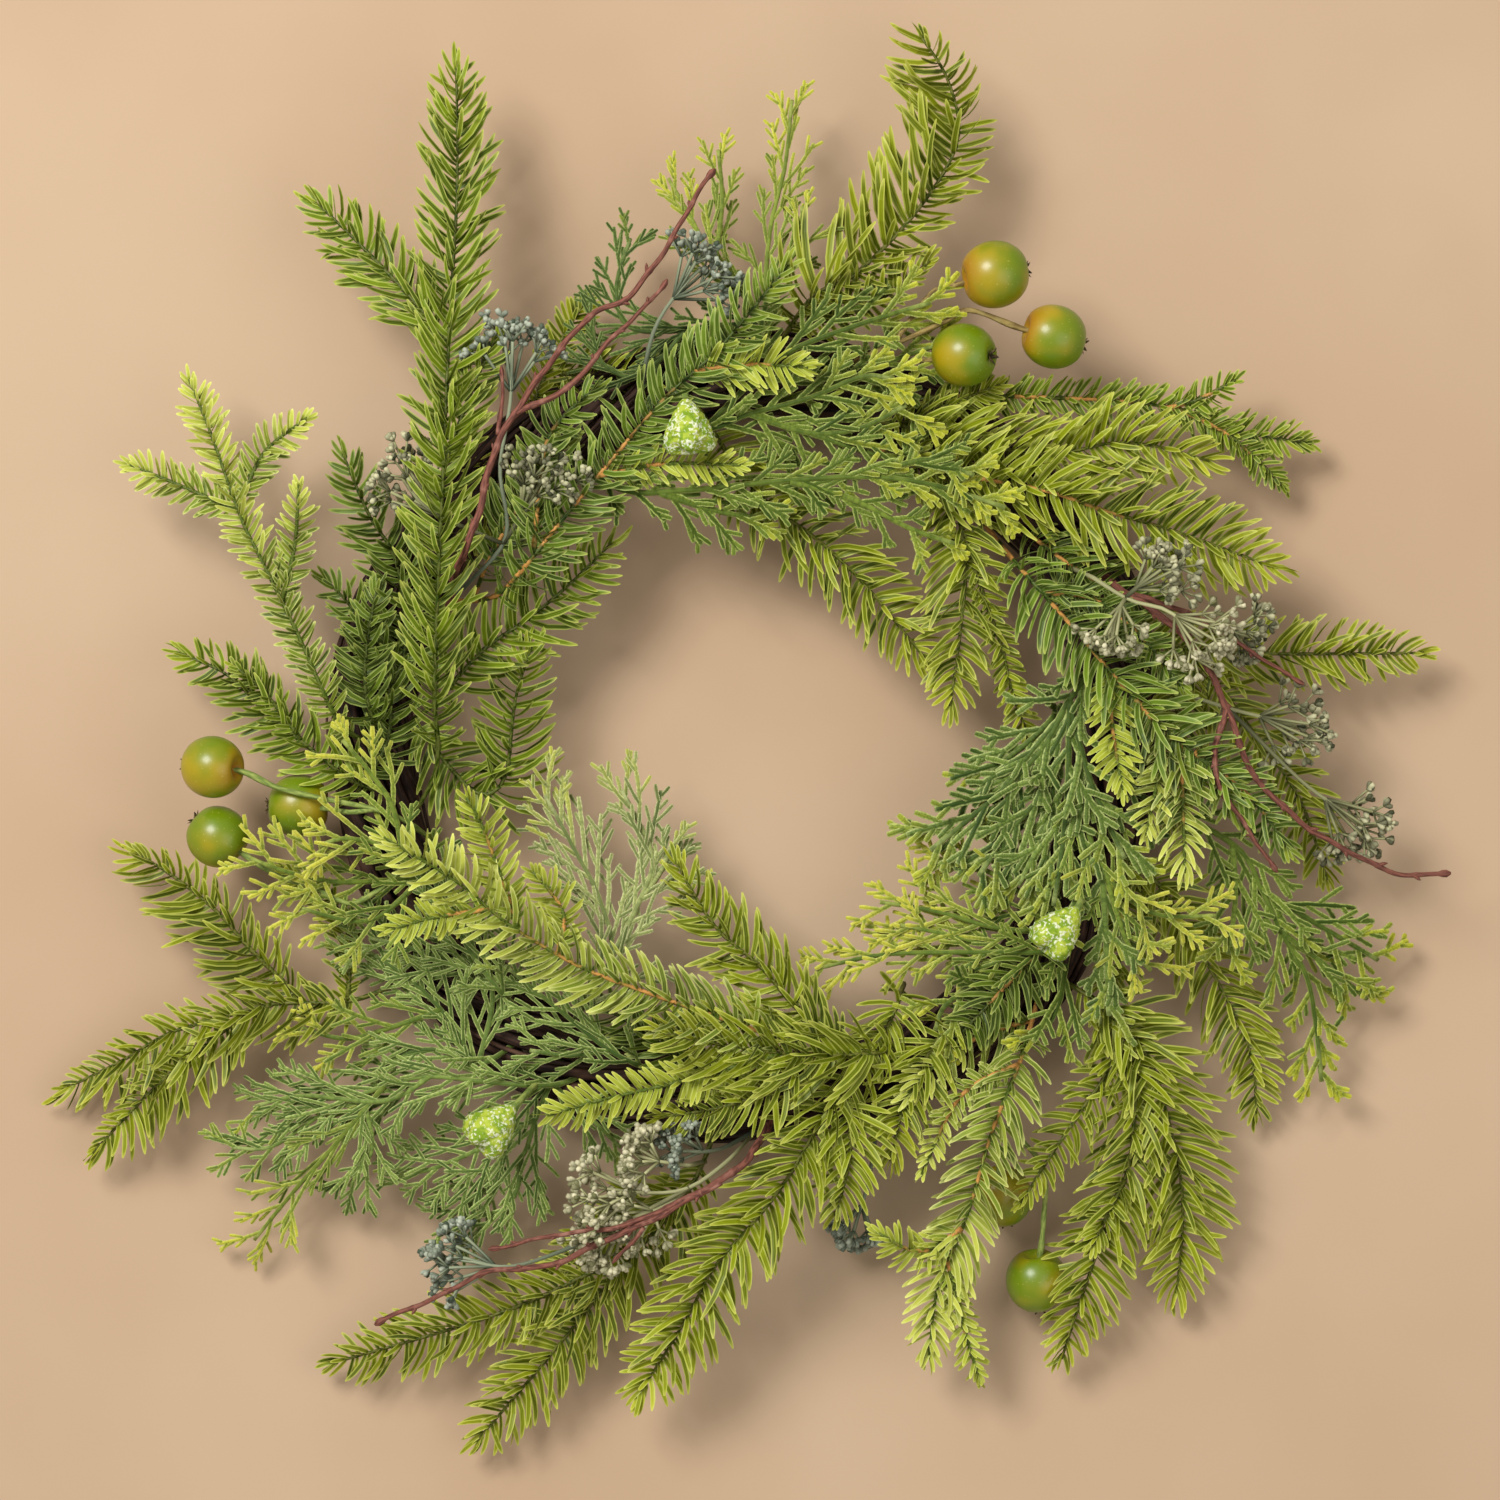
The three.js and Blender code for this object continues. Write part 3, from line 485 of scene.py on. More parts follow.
# A cedar branchlet: a low ridge between two pale rims, a little flatter below.
BRANCHLET = (np.array([[1.0, 0.0], [0.0, 0.75], [-1.0, 0.0], [0.0, -0.6]]), RIM_FOLDS)
# A cedar stem: round, with a pale rim down both sides.
CEDAR_STEM = (ROUND[6][0], np.array([1.0, 0.3, 0.3, 1.0, 0.3, 0.3]))


def skin_faces(rings, sides):
    """The faces of a skin of rings that are closed all round: four-sided ones between the rings,
    then three-sided ones to a point at each end. The two points come after the rings'."""
    side = np.arange(sides)
    beside = (side + 1) % sides
    ring = np.arange(rings - 1)[:, None] * sides
    quads = np.stack([ring + side, ring + beside, ring + sides + beside, ring + sides + side], -1)
    last, end = (rings - 1) * sides, rings * sides
    foot = np.stack([np.full(sides, end), beside, side], -1)
    tip = np.stack([np.full(sides, end + 1), last + side, last + beside], -1)
    return quads.reshape(-1, 4), np.concatenate([foot, tip])


def level_frame(lines, up=UP):
    """The directions across and over lines, with the first kept level or square to up."""
    ahead = unit(np.gradient(lines, axis=1))
    across = unit(np.cross(np.broadcast_to(up, lines.shape), ahead))
    return across, np.cross(ahead, across)


class Growth:
    """Bars gathered for one piece, as whole arrays of points, faces and places on the palette."""

    def __init__(self):
        """Nothing gathered yet."""
        self.points, self.quads, self.tris, self.places, self.soft = [], [], [], [], []
        self.count = 0

    def bars(self, lines, across, over, wide, thick, outline, column, along, soft=True):
        """Carries an outline along each line: a point is the line's, plus the outline's x times
        the width across it, plus its y times the thickness over it. Each end closes on a point."""
        shape, folds = outline
        n, rings = lines.shape[:2]
        sides = len(shape)
        body = (lines[:, :, None] + (shape[:, 0] * wide[..., None])[..., None] * across[:, :, None]
                + (shape[:, 1] * thick[..., None])[..., None] * over[:, :, None])
        points = np.concatenate([body.reshape(n, -1, 3), lines[:, [0, -1]]], axis=1)
        each = points.shape[1]
        self.points.append(points.reshape(-1, 3))

        quads, tris = skin_faces(rings, sides)
        start = self.count + np.arange(n)[:, None, None] * each
        self.quads.append((start + quads).reshape(-1, 4))
        self.tris.append((start + tris).reshape(-1, 3))
        self.soft.append((soft, n * len(quads), n * len(tris)))
        self.count += n * each

        fold = np.broadcast_to(folds, (n, rings, sides)).reshape(n, -1)
        fold = np.concatenate([fold, np.full((n, 2), 0.5)], axis=1)
        v = np.repeat(np.broadcast_to(along, (n, rings)), sides, axis=1)
        v = np.concatenate([v, v[:, [0, -1]]], axis=1)
        u = (np.reshape(column, (-1, 1)) + COLUMN_MARGIN + (1 - 2 * COLUMN_MARGIN) * fold) / COLUMNS
        self.places.append(np.stack([u, v], -1).reshape(-1, 2))

    def tube(self, line, radius, sides, column, along):
        """One round bar along one line."""
        across, over = level_frame(line[None])
        radius = np.broadcast_to(radius, len(line))[None]
        self.bars(line[None], across, over, radius, radius, ROUND[sides], column, along)


def mesh_of(name, points, quads, tris, soft_faces, places=None):
    """A mesh from arrays: four-sided faces first, then three-sided ones."""
    mesh = bpy.data.meshes.new(name)
    corners = np.concatenate([quads.ravel(), tris.ravel()]).astype(np.int32)
    sizes = np.concatenate([np.full(len(quads), 4), np.full(len(tris), 3)])
    starts = np.concatenate([[0], np.cumsum(sizes)[:-1]]).astype(np.int32)
    mesh.vertices.add(len(points))
    mesh.vertices.foreach_set("co", (points * MILLIMETRE).astype(np.float32).ravel())
    mesh.loops.add(len(corners))
    mesh.loops.foreach_set("vertex_index", corners)
    mesh.polygons.add(len(sizes))
    mesh.polygons.foreach_set("loop_start", starts)
    mesh.polygons.foreach_set("use_smooth", soft_faces)
    if places is not None:
        layer = mesh.uv_layers.new(name="OFBake")
        layer.data.foreach_set("uv", places[corners].astype(np.float32).ravel())
    mesh.update(calc_edges=True)
    mesh.validate()
    return mesh


def put(name, mesh, finish, node):
    """Sets a finished piece in the wreath, in place of a node of the frame."""
    piece = bpy.data.objects.new(name, mesh)
    bpy.context.scene.collection.objects.link(piece)
    mesh.materials.append(finish)
    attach(piece, "root")
    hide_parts(node)


def grown(name, growth, finish, node):
    """One piece from all the bars gathered for it, kept just clear of the table."""
    soft = ([np.full(quads, soft) for soft, quads, _ in growth.soft]
            + [np.full(tris, soft) for soft, _, tris in growth.soft])
    points = np.concatenate(growth.points) + TO_FRAME
    points[:, 2] = np.maximum(points[:, 2], CLEAR_OF_TABLE)
    mesh = mesh_of(name, points, np.concatenate(growth.quads), np.concatenate(growth.tris),
                   np.concatenate(soft), np.concatenate(growth.places))
    put(name, mesh, finish, node)


# ------------------------------------------------------------------ finishes

def paint(red, green, blue):
    """A colour given in 0 to 255, as the shader's linear values."""
    part = np.array([red, green, blue]) / 255.0
    linear = np.where(part <= 0.04045, part / 12.92, ((part + 0.055) / 1.055) ** 2.4)
    return (*linear.tolist(), 1.0)


def sums(operation):
    """A way for a Value to meet others in a Math node."""
    def meet(value, *others):
        return value.finish.node("Math", {"operation": operation}, dict(enumerate((value, *others))))
    return meet


class Value:
    """A socket in a finish, so that sums of sockets read as plain sums."""

    def __init__(self, finish, socket):
        self.finish, self.socket = finish, socket

    __add__ = __radd__ = sums("ADD")
    __mul__ = __rmul__ = sums("MULTIPLY")
    __sub__ = sums("SUBTRACT")
    __truediv__ = sums("DIVIDE")
    whole = sums("FLOOR")
    over = sums("GREATER_THAN")

    def __rsub__(self, other):
        """A plain number less this socket."""
        return self.finish.node("Math", {"operation": "SUBTRACT"}, {0: other, 1: self})

    def ramp(self, low, high):
        """0 below low, 1 above high and smooth between."""
        return self.finish.node("MapRange", {"interpolation_type": "SMOOTHSTEP"},
                                {"Value": self, "From Min": low, "From Max": high})


class Finish:
    """One procedural material, with its Principled shader and a short way to add any node."""

    def __init__(self, name, roughness, specular=0.5, coat=0.0, coat_roughness=0.12):
        self.material = bpy.data.materials.new(name)
        self.material.use_nodes = True
        self.tree = self.material.node_tree
        self.shader = self.tree.nodes["Principled BSDF"].inputs
        for socket, value in (("Roughness", roughness), ("Specular IOR Level", specular),
                              ("Coat Weight", coat), ("Coat Roughness", coat_roughness)):
            self.feed(self.shader[socket], value)

    def feed(self, socket, value):
        """Links a Value to a socket, or sets the socket to a plain value."""
        if isinstance(value, Value):
            self.tree.links.new(value.socket, socket)
        else:
            socket.default_value = value

    def node(self, kind, settings=None, sockets=None, output=0):
        """Adds a node and gives one of its outputs as a Value."""
        made = self.tree.nodes.new("ShaderNode" + kind)
        for key, value in (settings or {}).items():
            setattr(made, key, value)
        for key, value in (sockets or {}).items():
            self.feed(made.inputs[key], value)
        return Value(self, made.outputs[output])

    def mix(self, share, first, second):
        """Blends two colours."""
        return self.node("Mix", {"data_type": "RGBA"}, {0: share, 6: first, 7: second}, output=2)

    def noise(self, where, scale, detail=3.0):
        """Cloudy noise round 0.5, with so many clouds to a metre."""
        return self.node("TexNoise", None, {"Vector": where, "Scale": scale, "Detail": detail})

    def place(self):
        """The piece's own coordinates."""
        return self.node("TexCoord", output="Object")

    def colour(self, value):
        """Sets the colour of the surface."""
        self.feed(self.shader["Base Color"], value)

    def bump(self, height, strength, distance):
        """Raises the surface where a height is high, by up to a distance in metres."""
        raised = {"Height": height, "Strength": strength, "Distance": distance}
        self.feed(self.shader["Normal"], self.node("Bump", None, raised))


def palette(finish):
    """Where a point lies on the palette: its map, column, fold across it and place along the bar."""
    where = finish.node("UVMap", {"uv_map": "OFBake"})
    across = finish.node("SeparateXYZ", None, {0: where}, output=0)
    along = finish.node("SeparateXYZ", None, {0: where}, output=1)
    scaled = across * float(COLUMNS)
    column = scaled.whole()
    return where, column, (scaled - column - COLUMN_MARGIN) / (1 - 2 * COLUMN_MARGIN), along


def leaf_bark(finish, column, along, spots, green, dark):
    """The bark of stems: green, or orange in patches that turn green towards the tip."""
    patches = finish.noise(finish.place(), 110.0, 2.0).ramp(0.46, 0.56)
    green_bark = finish.mix(spots, green, dark)
    orange_bark = finish.mix(spots * 0.5, paint(216, 154, 84), paint(150, 122, 50))
    orange_bark = finish.mix(patches + along.ramp(0.5, 0.8), orange_bark, green_bark)
    return finish.mix(column.over(ORANGE_STEM - 0.5), green_bark, orange_bark)


def greenery(name, tones, roughness, scaly=False):
    """Leaves: tint by column from dark to light, yellower with age column, with pale rims, a
    paler tip and, on scaly ones, small dark marks. On needles the pale rims are partly painted
    highlight, a faint painted highlight runs down their middle and painted shade darkens their
    foot. The last columns are the stems' bark."""
    dark, light, young, rim, tip, stem = (paint(*tone) for tone in tones)
    finish = Finish(name, roughness, specular=0.14)
    where, column, fold, along = palette(finish)
    age = (column / TINTS).whole()
    tint = (column - age * TINTS) / (TINTS - 1.0)
    streaks = finish.node("Mapping", None, {"Vector": where, "Scale": (90.0, 60.0, 1.0)})
    spots = finish.noise(streaks, 0.4 if scaly else 1.0).ramp(0.45, 0.6)
    drift = finish.noise(finish.place(), 30.0, 2.0).ramp(0.36, 0.64)
    green = finish.mix(tint * 0.6 + drift * 0.4, dark, light)
    if scaly:
        ripe = age / (AGES - 1.0) * (along.ramp(0.05, 0.7) * 0.8 + 0.2)
        green = finish.mix(ripe, green, young)
        edges = finish.mix(ripe, rim, tip)
        green = finish.mix(fold.ramp(0.4, 0.85) * 0.72, green, edges)
        green = finish.mix(along.ramp(0.85, 1.0) * 0.4, green, edges)
        green = finish.mix(spots * (0.5 - ripe * 0.25), green, dark)
    else:
        green = finish.mix(age / (AGES - 1.0) * (along * 0.6 + 0.4), green, young)
        # Pale rims of the needle's own, made whiter and wider as painted highlight, and a faint
        # painted highlight down the middle of its top and keel.
        rims = fold.ramp(0.3, 1.0) * 0.74 + (1.0 - fold.ramp(0.0, 0.2)) * 0.14
        green = finish.mix(rims, green, rim)
        green = finish.mix(along.ramp(0.8, 1.0) * 0.5, green, tip)
        # Painted shade: each needle darker towards its foot at the stem, where the needles crowd.
        green = finish.mix((1.0 - along.ramp(0.0, 0.25)) * 0.5, green, dark)
    bark = leaf_bark(finish, column, along, spots, stem, dark)
    finish.colour(finish.mix(column.over(STEM_COLUMN - 0.5), green, bark))
    return finish.material


def bud_finish(name, tones):
    """Buds: dusty, tinted by column and paler at their tops, darker at their feet as painted shade
    deep in the head. The last columns are the stalks, darker at their feet with the same painted
    shade.
    """
    dark, light, stalk = (paint(*tone) for tone in tones)
    finish = Finish(name, 0.7, specular=0.3)
    _, column, _, along = palette(finish)
    tint = column / float(STEM_COLUMN - 1)
    # Painted shade: each bud darker towards its foot, inside the head.
    bud = finish.mix(tint * (along * 0.6 + 0.4), dark, light)
    # Stalks and stems: painted shade darkens them towards their feet, deep in the head.
    finish.colour(finish.mix(column.over(STEM_COLUMN - 0.5), bud, finish.mix(along, dark, stalk)))
    return finish.material


def bark_finish(name, tones, streaks):
    """Bark: streaks that run along the bar, darker in their grooves, with a bump to match, and
    paler patches of the high tone, which on the red twig are a painted highlight.
    """
    deep, middle, high = (paint(*tone) for tone in tones)
    finish = Finish(name, 0.75, specular=0.3)
    _, column, fold, along = palette(finish)
    lines = finish.node("CombineXYZ", None, {0: fold * streaks + column * 3.7, 1: along * 6.0})
    wear_and_highlight_at = finish.node("CombineXYZ", None, {0: column * 1.3, 1: along * 2.5})
    grain = finish.noise(lines, 1.0, 5.0)
    bark = finish.mix(grain.ramp(0.35, 0.65), deep, middle)
    # Paler patches of the high tone: on the red twig a painted highlight.
    finish.colour(finish.mix(finish.noise(wear_and_highlight_at, 2.0, 2.0).ramp(0.5, 0.75) * 0.7, bark, high))
    finish.bump(grain, 0.5, 0.0006)
    return finish.material


def dry_flower_finish():
    """The brown, crumbled remains of an apple's flower."""
    finish = Finish("apple_calyx", 0.8)
    grain = finish.noise(finish.place(), 900.0)
    finish.colour(finish.mix(grain.ramp(0.35, 0.65), paint(52, 40, 24), paint(96, 78, 40)))
    finish.bump(grain, 0.4, 0.0004)
    return finish.material


def apple_finish():
    """Waxy skin: lime green, golden where it turned to the sun, an orange flush round the stalk
    and small pale specks. How ripe the skin is at a point drives the flush."""
    finish = Finish("apple_skin", 0.42, specular=0.4, coat=0.4, coat_roughness=0.24)
    where = finish.place()
    ripe = finish.node("Attribute", {"attribute_name": "ripeness"}, output="Fac")
    cloud = finish.noise(where, 42.0, 2.0)
    sunny = (cloud + ripe * 0.3).ramp(0.48, 0.82)
    skin = finish.mix(sunny, paint(106, 130, 0), paint(168, 146, 10))
    skin = finish.mix((ripe + cloud * 0.5).ramp(0.86, 1.32), skin, paint(168, 104, 30))
    specks = finish.noise(where, 900.0, 1.0).ramp(0.68, 0.75)
    skin = finish.mix(specks * 0.35, skin, paint(196, 190, 96))
    finish.colour(finish.mix(ripe.ramp(0.95, 1.1) * 0.8, skin, paint(116, 92, 34)))
    finish.bump(finish.noise(where, 240.0), 0.12, 0.0004)
    return finish.material


def cone_finish():
    """Lime scales under crumbs of white frost, which gather in patches."""
    finish = Finish("cone_frost", 0.75)
    where = finish.place()
    crumbs = finish.noise(where, 750.0, 5.0)
    patches = finish.noise(where, 240.0, 2.0)
    scales = finish.noise(where, 220.0).ramp(0.4, 0.6)
    green = finish.mix(scales, paint(124, 156, 16), paint(178, 194, 56))
    frost = (crumbs + patches * 0.6).ramp(0.8, 0.93)
    finish.colour(finish.mix(frost * 0.9, green, paint(236, 238, 206)))
    finish.bump(crumbs, 0.8, 0.001)
    return finish.material


FIR_COLOURS = {
    # look: dark, light, young,
    #       rim (pale edges, partly painted highlight), tip, stem
    "olive": ((58, 74, 0), (130, 140, 4), (176, 174, 36),
              (204, 206, 98), (214, 212, 100), (112, 112, 50)),
    # deep: the left shoulder's own darker green, and on the fillers painted shade.
    "deep": ((36, 52, 2), (88, 110, 14), (140, 150, 36),
             (170, 184, 98), (188, 194, 96), (84, 92, 38)),
    "green": ((48, 68, 0), (112, 134, 6), (164, 168, 36),
              (196, 204, 102), (208, 210, 100), (100, 106, 46)),
    "lime": ((60, 76, 0), (132, 144, 2), (178, 180, 38),
             (206, 210, 100), (216, 214, 102), (112, 112, 48)),
    "blue": ((40, 62, 6), (102, 128, 24), (168, 176, 46),
             (184, 198, 112), (196, 204, 104), (88, 102, 46)),
    "tipped": ((66, 86, 14), (134, 152, 38), (198, 202, 78),
               (216, 220, 128), (230, 230, 140), (98, 110, 44)),
    "sprout": ((70, 92, 12), (130, 150, 34), (176, 182, 54),
               (206, 212, 112), (218, 218, 116), (104, 116, 50)),
}
CEDAR_COLOURS = {
    # look: dark, light, young, rim, young rim; the stem is as dark as the scales
    "fine": ((66, 88, 34), (134, 154, 72), (182, 188, 58), (204, 214, 134), (212, 214, 102)),
    "broad": ((50, 72, 24), (116, 136, 58), (176, 182, 52), (192, 202, 124), (212, 214, 102)),
    "scaled": ((54, 74, 20), (118, 136, 50), (182, 184, 50), (190, 200, 112), (214, 212, 98)),
    "yellow": ((68, 90, 30), (130, 148, 54), (192, 190, 64), (196, 202, 108), (218, 212, 110)),
    "dusky": ((44, 62, 26), (92, 112, 50), (150, 160, 58), (160, 174, 104), (190, 196, 98)),
    "wispy": ((84, 100, 34), (140, 156, 60), (188, 188, 62), (200, 204, 112), (214, 210, 108)),
    "pale": ((92, 106, 56), (160, 168, 100), (186, 188, 72), (222, 222, 160), (218, 216, 124)),
}
BUD_COLOURS = {
    # look: dark, light, stalk
    "blue": ((72, 84, 66), (184, 190, 168), (156, 164, 132)),
    "grey": ((62, 64, 38), (204, 200, 158), (168, 168, 120)),
    "cream": ((112, 112, 72), (226, 218, 180), (190, 188, 138)),
}
BARK_COLOURS = {
    # kind and look: deep, middle and high (pale patches, on the red twig a painted highlight), then
    # how many streaks lie across a fold
    ("stalk", "green"): (((104, 124, 54), (150, 164, 82), (176, 182, 96)), 3.0),
    ("stalk", "tan"): (((112, 92, 48), (158, 136, 78), (176, 158, 98)), 3.0),
    ("twig", "red"): (((88, 50, 40), (140, 86, 70), (184, 134, 114)), 4.0),
    ("vine", "brown"): (((30, 20, 16), (74, 50, 38), (112, 80, 60)), 5.0),
}


def make_finishes():
    """Every finish of the wreath, by its kind and look."""
    finishes = {}
    for look, tones in FIR_COLOURS.items():
        finishes["fir", look] = greenery(f"fir_{look}", tones, 0.4)
    for look, tones in CEDAR_COLOURS.items():
        finishes["cedar", look] = greenery(f"cedar_{look}", (*tones, tones[0]), 0.55, scaly=True)
    for look, tones in BUD_COLOURS.items():
        finishes["seeded", look] = bud_finish(f"buds_{look}", tones)
    for (kind, look), (tones, streaks) in BARK_COLOURS.items():
        finishes[kind, look] = bark_finish(f"{kind}_{look}", tones, streaks)
    finishes["apple"] = apple_finish()
    finishes["dry flower"] = dry_flower_finish()
    finishes["cone"] = cone_finish()
    return finishes


# ------------------------------------------------------------------ leaves and shoots

def at_shares(line, shares):
    """Points on a line at shares of its length, and the directions there."""
    spots = shares * (len(line) - 1)
    index = np.arange(len(line))
    slopes = np.gradient(line, axis=0)
    point = np.stack([np.interp(spots, index, line[:, i]) for i in range(3)], 1)
    ahead = np.stack([np.interp(spots, index, slopes[:, i]) for i in range(3)], 1)
    return point, unit(ahead)


def sweep(root, ahead, turn, length, t):
    """Lines that leave their roots straight ahead and turn: root + length (t ahead + t² turn)."""
    t = t[None, :, None]
    return root[:, None] + length[:, None, None] * (t * ahead[:, None] + t * t * turn[:, None])


def aside(ahead, towards):
    """The part of one direction that is square to another."""
    return towards - (towards * ahead).sum(-1, keepdims=True) * ahead


def forks(ahead, over, hand, degrees, tilt):
    """Directions that fork from others to one hand by so many degrees, tilted out of their plane."""
    side = unit(np.cross(over, ahead))
    angle = np.radians(degrees)[:, None]
    return unit(np.cos(angle) * ahead + np.sin(angle) * hand[:, None] * side + tilt[:, None] * over)


def length_of(line):
    """The length of a line in space."""
    return np.linalg.norm(np.diff(line, axis=0), axis=1).sum()


def by_turns(count):
    """-1 and 1 by turns."""
    return np.where(np.arange(count) % 2, 1.0, -1.0)


def zigzag(beats):
    """Goes to and fro between 1 and 0, once in two beats: |beats mod 2 - 1|."""
    return np.abs(beats % 2.0 - 1.0)


AGE_SPREAD = 0.4


def age_column(share, young, rng):
    """The palette's column for a leaf at a share of its shoot: older at the foot, and yellower
    over the young part, with a random tint."""
    age = (share + rng.normal(0.0, 0.08, share.shape) - 1.0 + young) / AGE_SPREAD
    age = np.clip(np.round(age * (AGES - 1)), 0, AGES - 1)
    return age * TINTS + rng.integers(0, TINTS, share.shape)


STEM_STEP = 5.0


def stem(growth, line, thick, thin, column):
    """A shoot's stem: a tube that thins to its tip, slightly knobbed."""
    steps = max(6, int(length_of(line) / STEM_STEP))
    share = np.linspace(0.0, 1.0, steps)
    radius = thick + (thin - thick) * share
    growth.tube(even(line, steps), radius * (1.0 + 0.08 * np.sin(share * 97.0)), 5, column, share)


# The rows of needles round a stem: how many degrees each rises from level, and which is loose.
ROW_RISES = np.array([0, 0, 20, 20, 44, 44, 70])
LOOSE_ROW = 6
# How far from a shoot's tip its needles begin to lie closer, and long ones to shorten.
NARROW_TIP = 16.0
SHORTENING = 46.0
STRAP_WIDTH = np.array([0.5, 0.9, 1.0, 0.95, 0.7, 0.25])
STRAP_AT = np.array([0.0, 0.12, 0.4, 0.7, 0.9, 1.0])
STRAP_THICKNESS = 0.42


def needles(growth, line, reach, young, bare, comb, habit, rng):
    """Flat needles along a shoot, in seven rows: two level at the sides, two a little raised, two
    steeper and a loose one on top. Each leaves the stem at a forward slant, less at the shoot's
    tip, bends ahead and sags. They shorten towards the tip, sooner where they are long."""
    lean, slant = habit
    base = math.radians(slant)
    length = length_of(line)
    count = int(length * (1.0 - bare) / (COMB_GAP if comb else LONG_GAP))
    order = np.arange(count)
    share = bare + (1.0 - bare) * (order + 0.5) / count
    away = (1.0 - share) * length
    point, ahead = at_shares(line, np.clip(share + rng.normal(0, 0.4, count) / length, 0, 1))
    side = unit(np.cross(UP, ahead))
    over = np.cross(ahead, side)

    row = order % len(ROW_RISES)
    loose = row == LOOSE_ROW
    hand = np.where(row % 2 == 0, -1.0, 1.0) * np.where(loose, rng.choice([-1, 1], count), 1.0)
    rise = np.radians(ROW_RISES[row] + rng.normal(0, 7, count))
    tip = smooth(away / NARROW_TIP)
    slant = base * (0.4 + 0.6 * tip) + rng.normal(0, 0.09, count)
    taper = 0.55 + 0.45 * tip if comb else 0.4 + 0.6 * np.minimum(away / SHORTENING, 1) ** 0.8
    size = reach / math.sin(base) * taper * (0.6 + 0.4 * smooth((share - bare) / 0.1))
    size *= rng.uniform(0.86, 1.08, count) * np.where(loose, 0.7, 1.0) * (1.0 + lean * hand)

    out = np.cos(rise)[:, None] * hand[:, None] * side + np.sin(rise)[:, None] * over
    leaf = unit(np.cos(slant)[:, None] * ahead + np.sin(slant)[:, None] * out)
    bend = rng.normal(0.12, 0.06, count) if comb else rng.normal(0.3, 0.15, count)
    sag = rng.normal(0.12, 0.09, count)
    turn = bend[:, None] * unit(aside(leaf, ahead)) - sag[:, None] * over
    facing = over * (1.15 - np.sin(rise))[:, None] - ahead * np.sin(rise)[:, None] * 0.8
    facing = unit(facing + rng.normal(0.0, 0.32, (count, 3)))

    lines = sweep(point, leaf, turn, size, STRAP_AT)
    across, top = level_frame(lines, facing[:, None])
    wide = (0.75 + 0.026 * size)[:, None] * STRAP_WIDTH
    growth.bars(lines, across, top, wide, wide * STRAP_THICKNESS, STRAP,
                age_column(share, young, rng), STRAP_AT, soft=False)


def fir_shoot(growth, line, half, own, bare, node, number, rng):
    """A shoot of fir: a stem with combed needles if it is thin or a sprout, and else long ones."""
    comb = half <= COMBED_WIDTH or own == "sprout"
    reach = half * (COMB_REACH if comb else LONG_REACH) * SHORTER.get((node, number), 1.0)
    lean, slant = NEEDLE_HABIT.get(node, (0.0, LONG_SLANT))
    habit = (lean, COMB_SLANT if comb else slant)
    needles(growth, line, reach, YOUNG[own], bare, comb, habit, rng)
    stem(growth, line, 1.25, 0.65, ORANGE_STEM if node in ORANGE_STEMS else GREEN_STEM)


# Places along a branchlet: of its own rings, of a smaller one's, and of the forks between them.
FIRST_AT = np.append(np.linspace(0.0, 0.97, 11), 1.0)
SECOND_AT = np.append(np.linspace(0.0, 0.93, 5), 1.0)
FORKS_AT = np.array([0.28, 0.42, 0.55, 0.67, 0.78, 0.88])
# How far to the side a long branchlet reaches, as a share of its length.
SIDE_REACH = 0.4


def scaly(growth, lines, radius, column):
    """Branchlets of small overlapping scales: plump bars that swell a little at every other step
    and end bluntly, with the palette's rim down both edges."""
    rings = lines.shape[1]
    wide = np.full((len(lines), 1), radius) * np.where(np.arange(rings) % 2, 1.1, 0.9)
    wide[:, -1] *= 0.75
    across, over = level_frame(lines)
    growth.bars(lines, across, over, wide, wide * 0.7, BRANCHLET, column,
                np.linspace(0.0, 1.0, rings), soft=False)


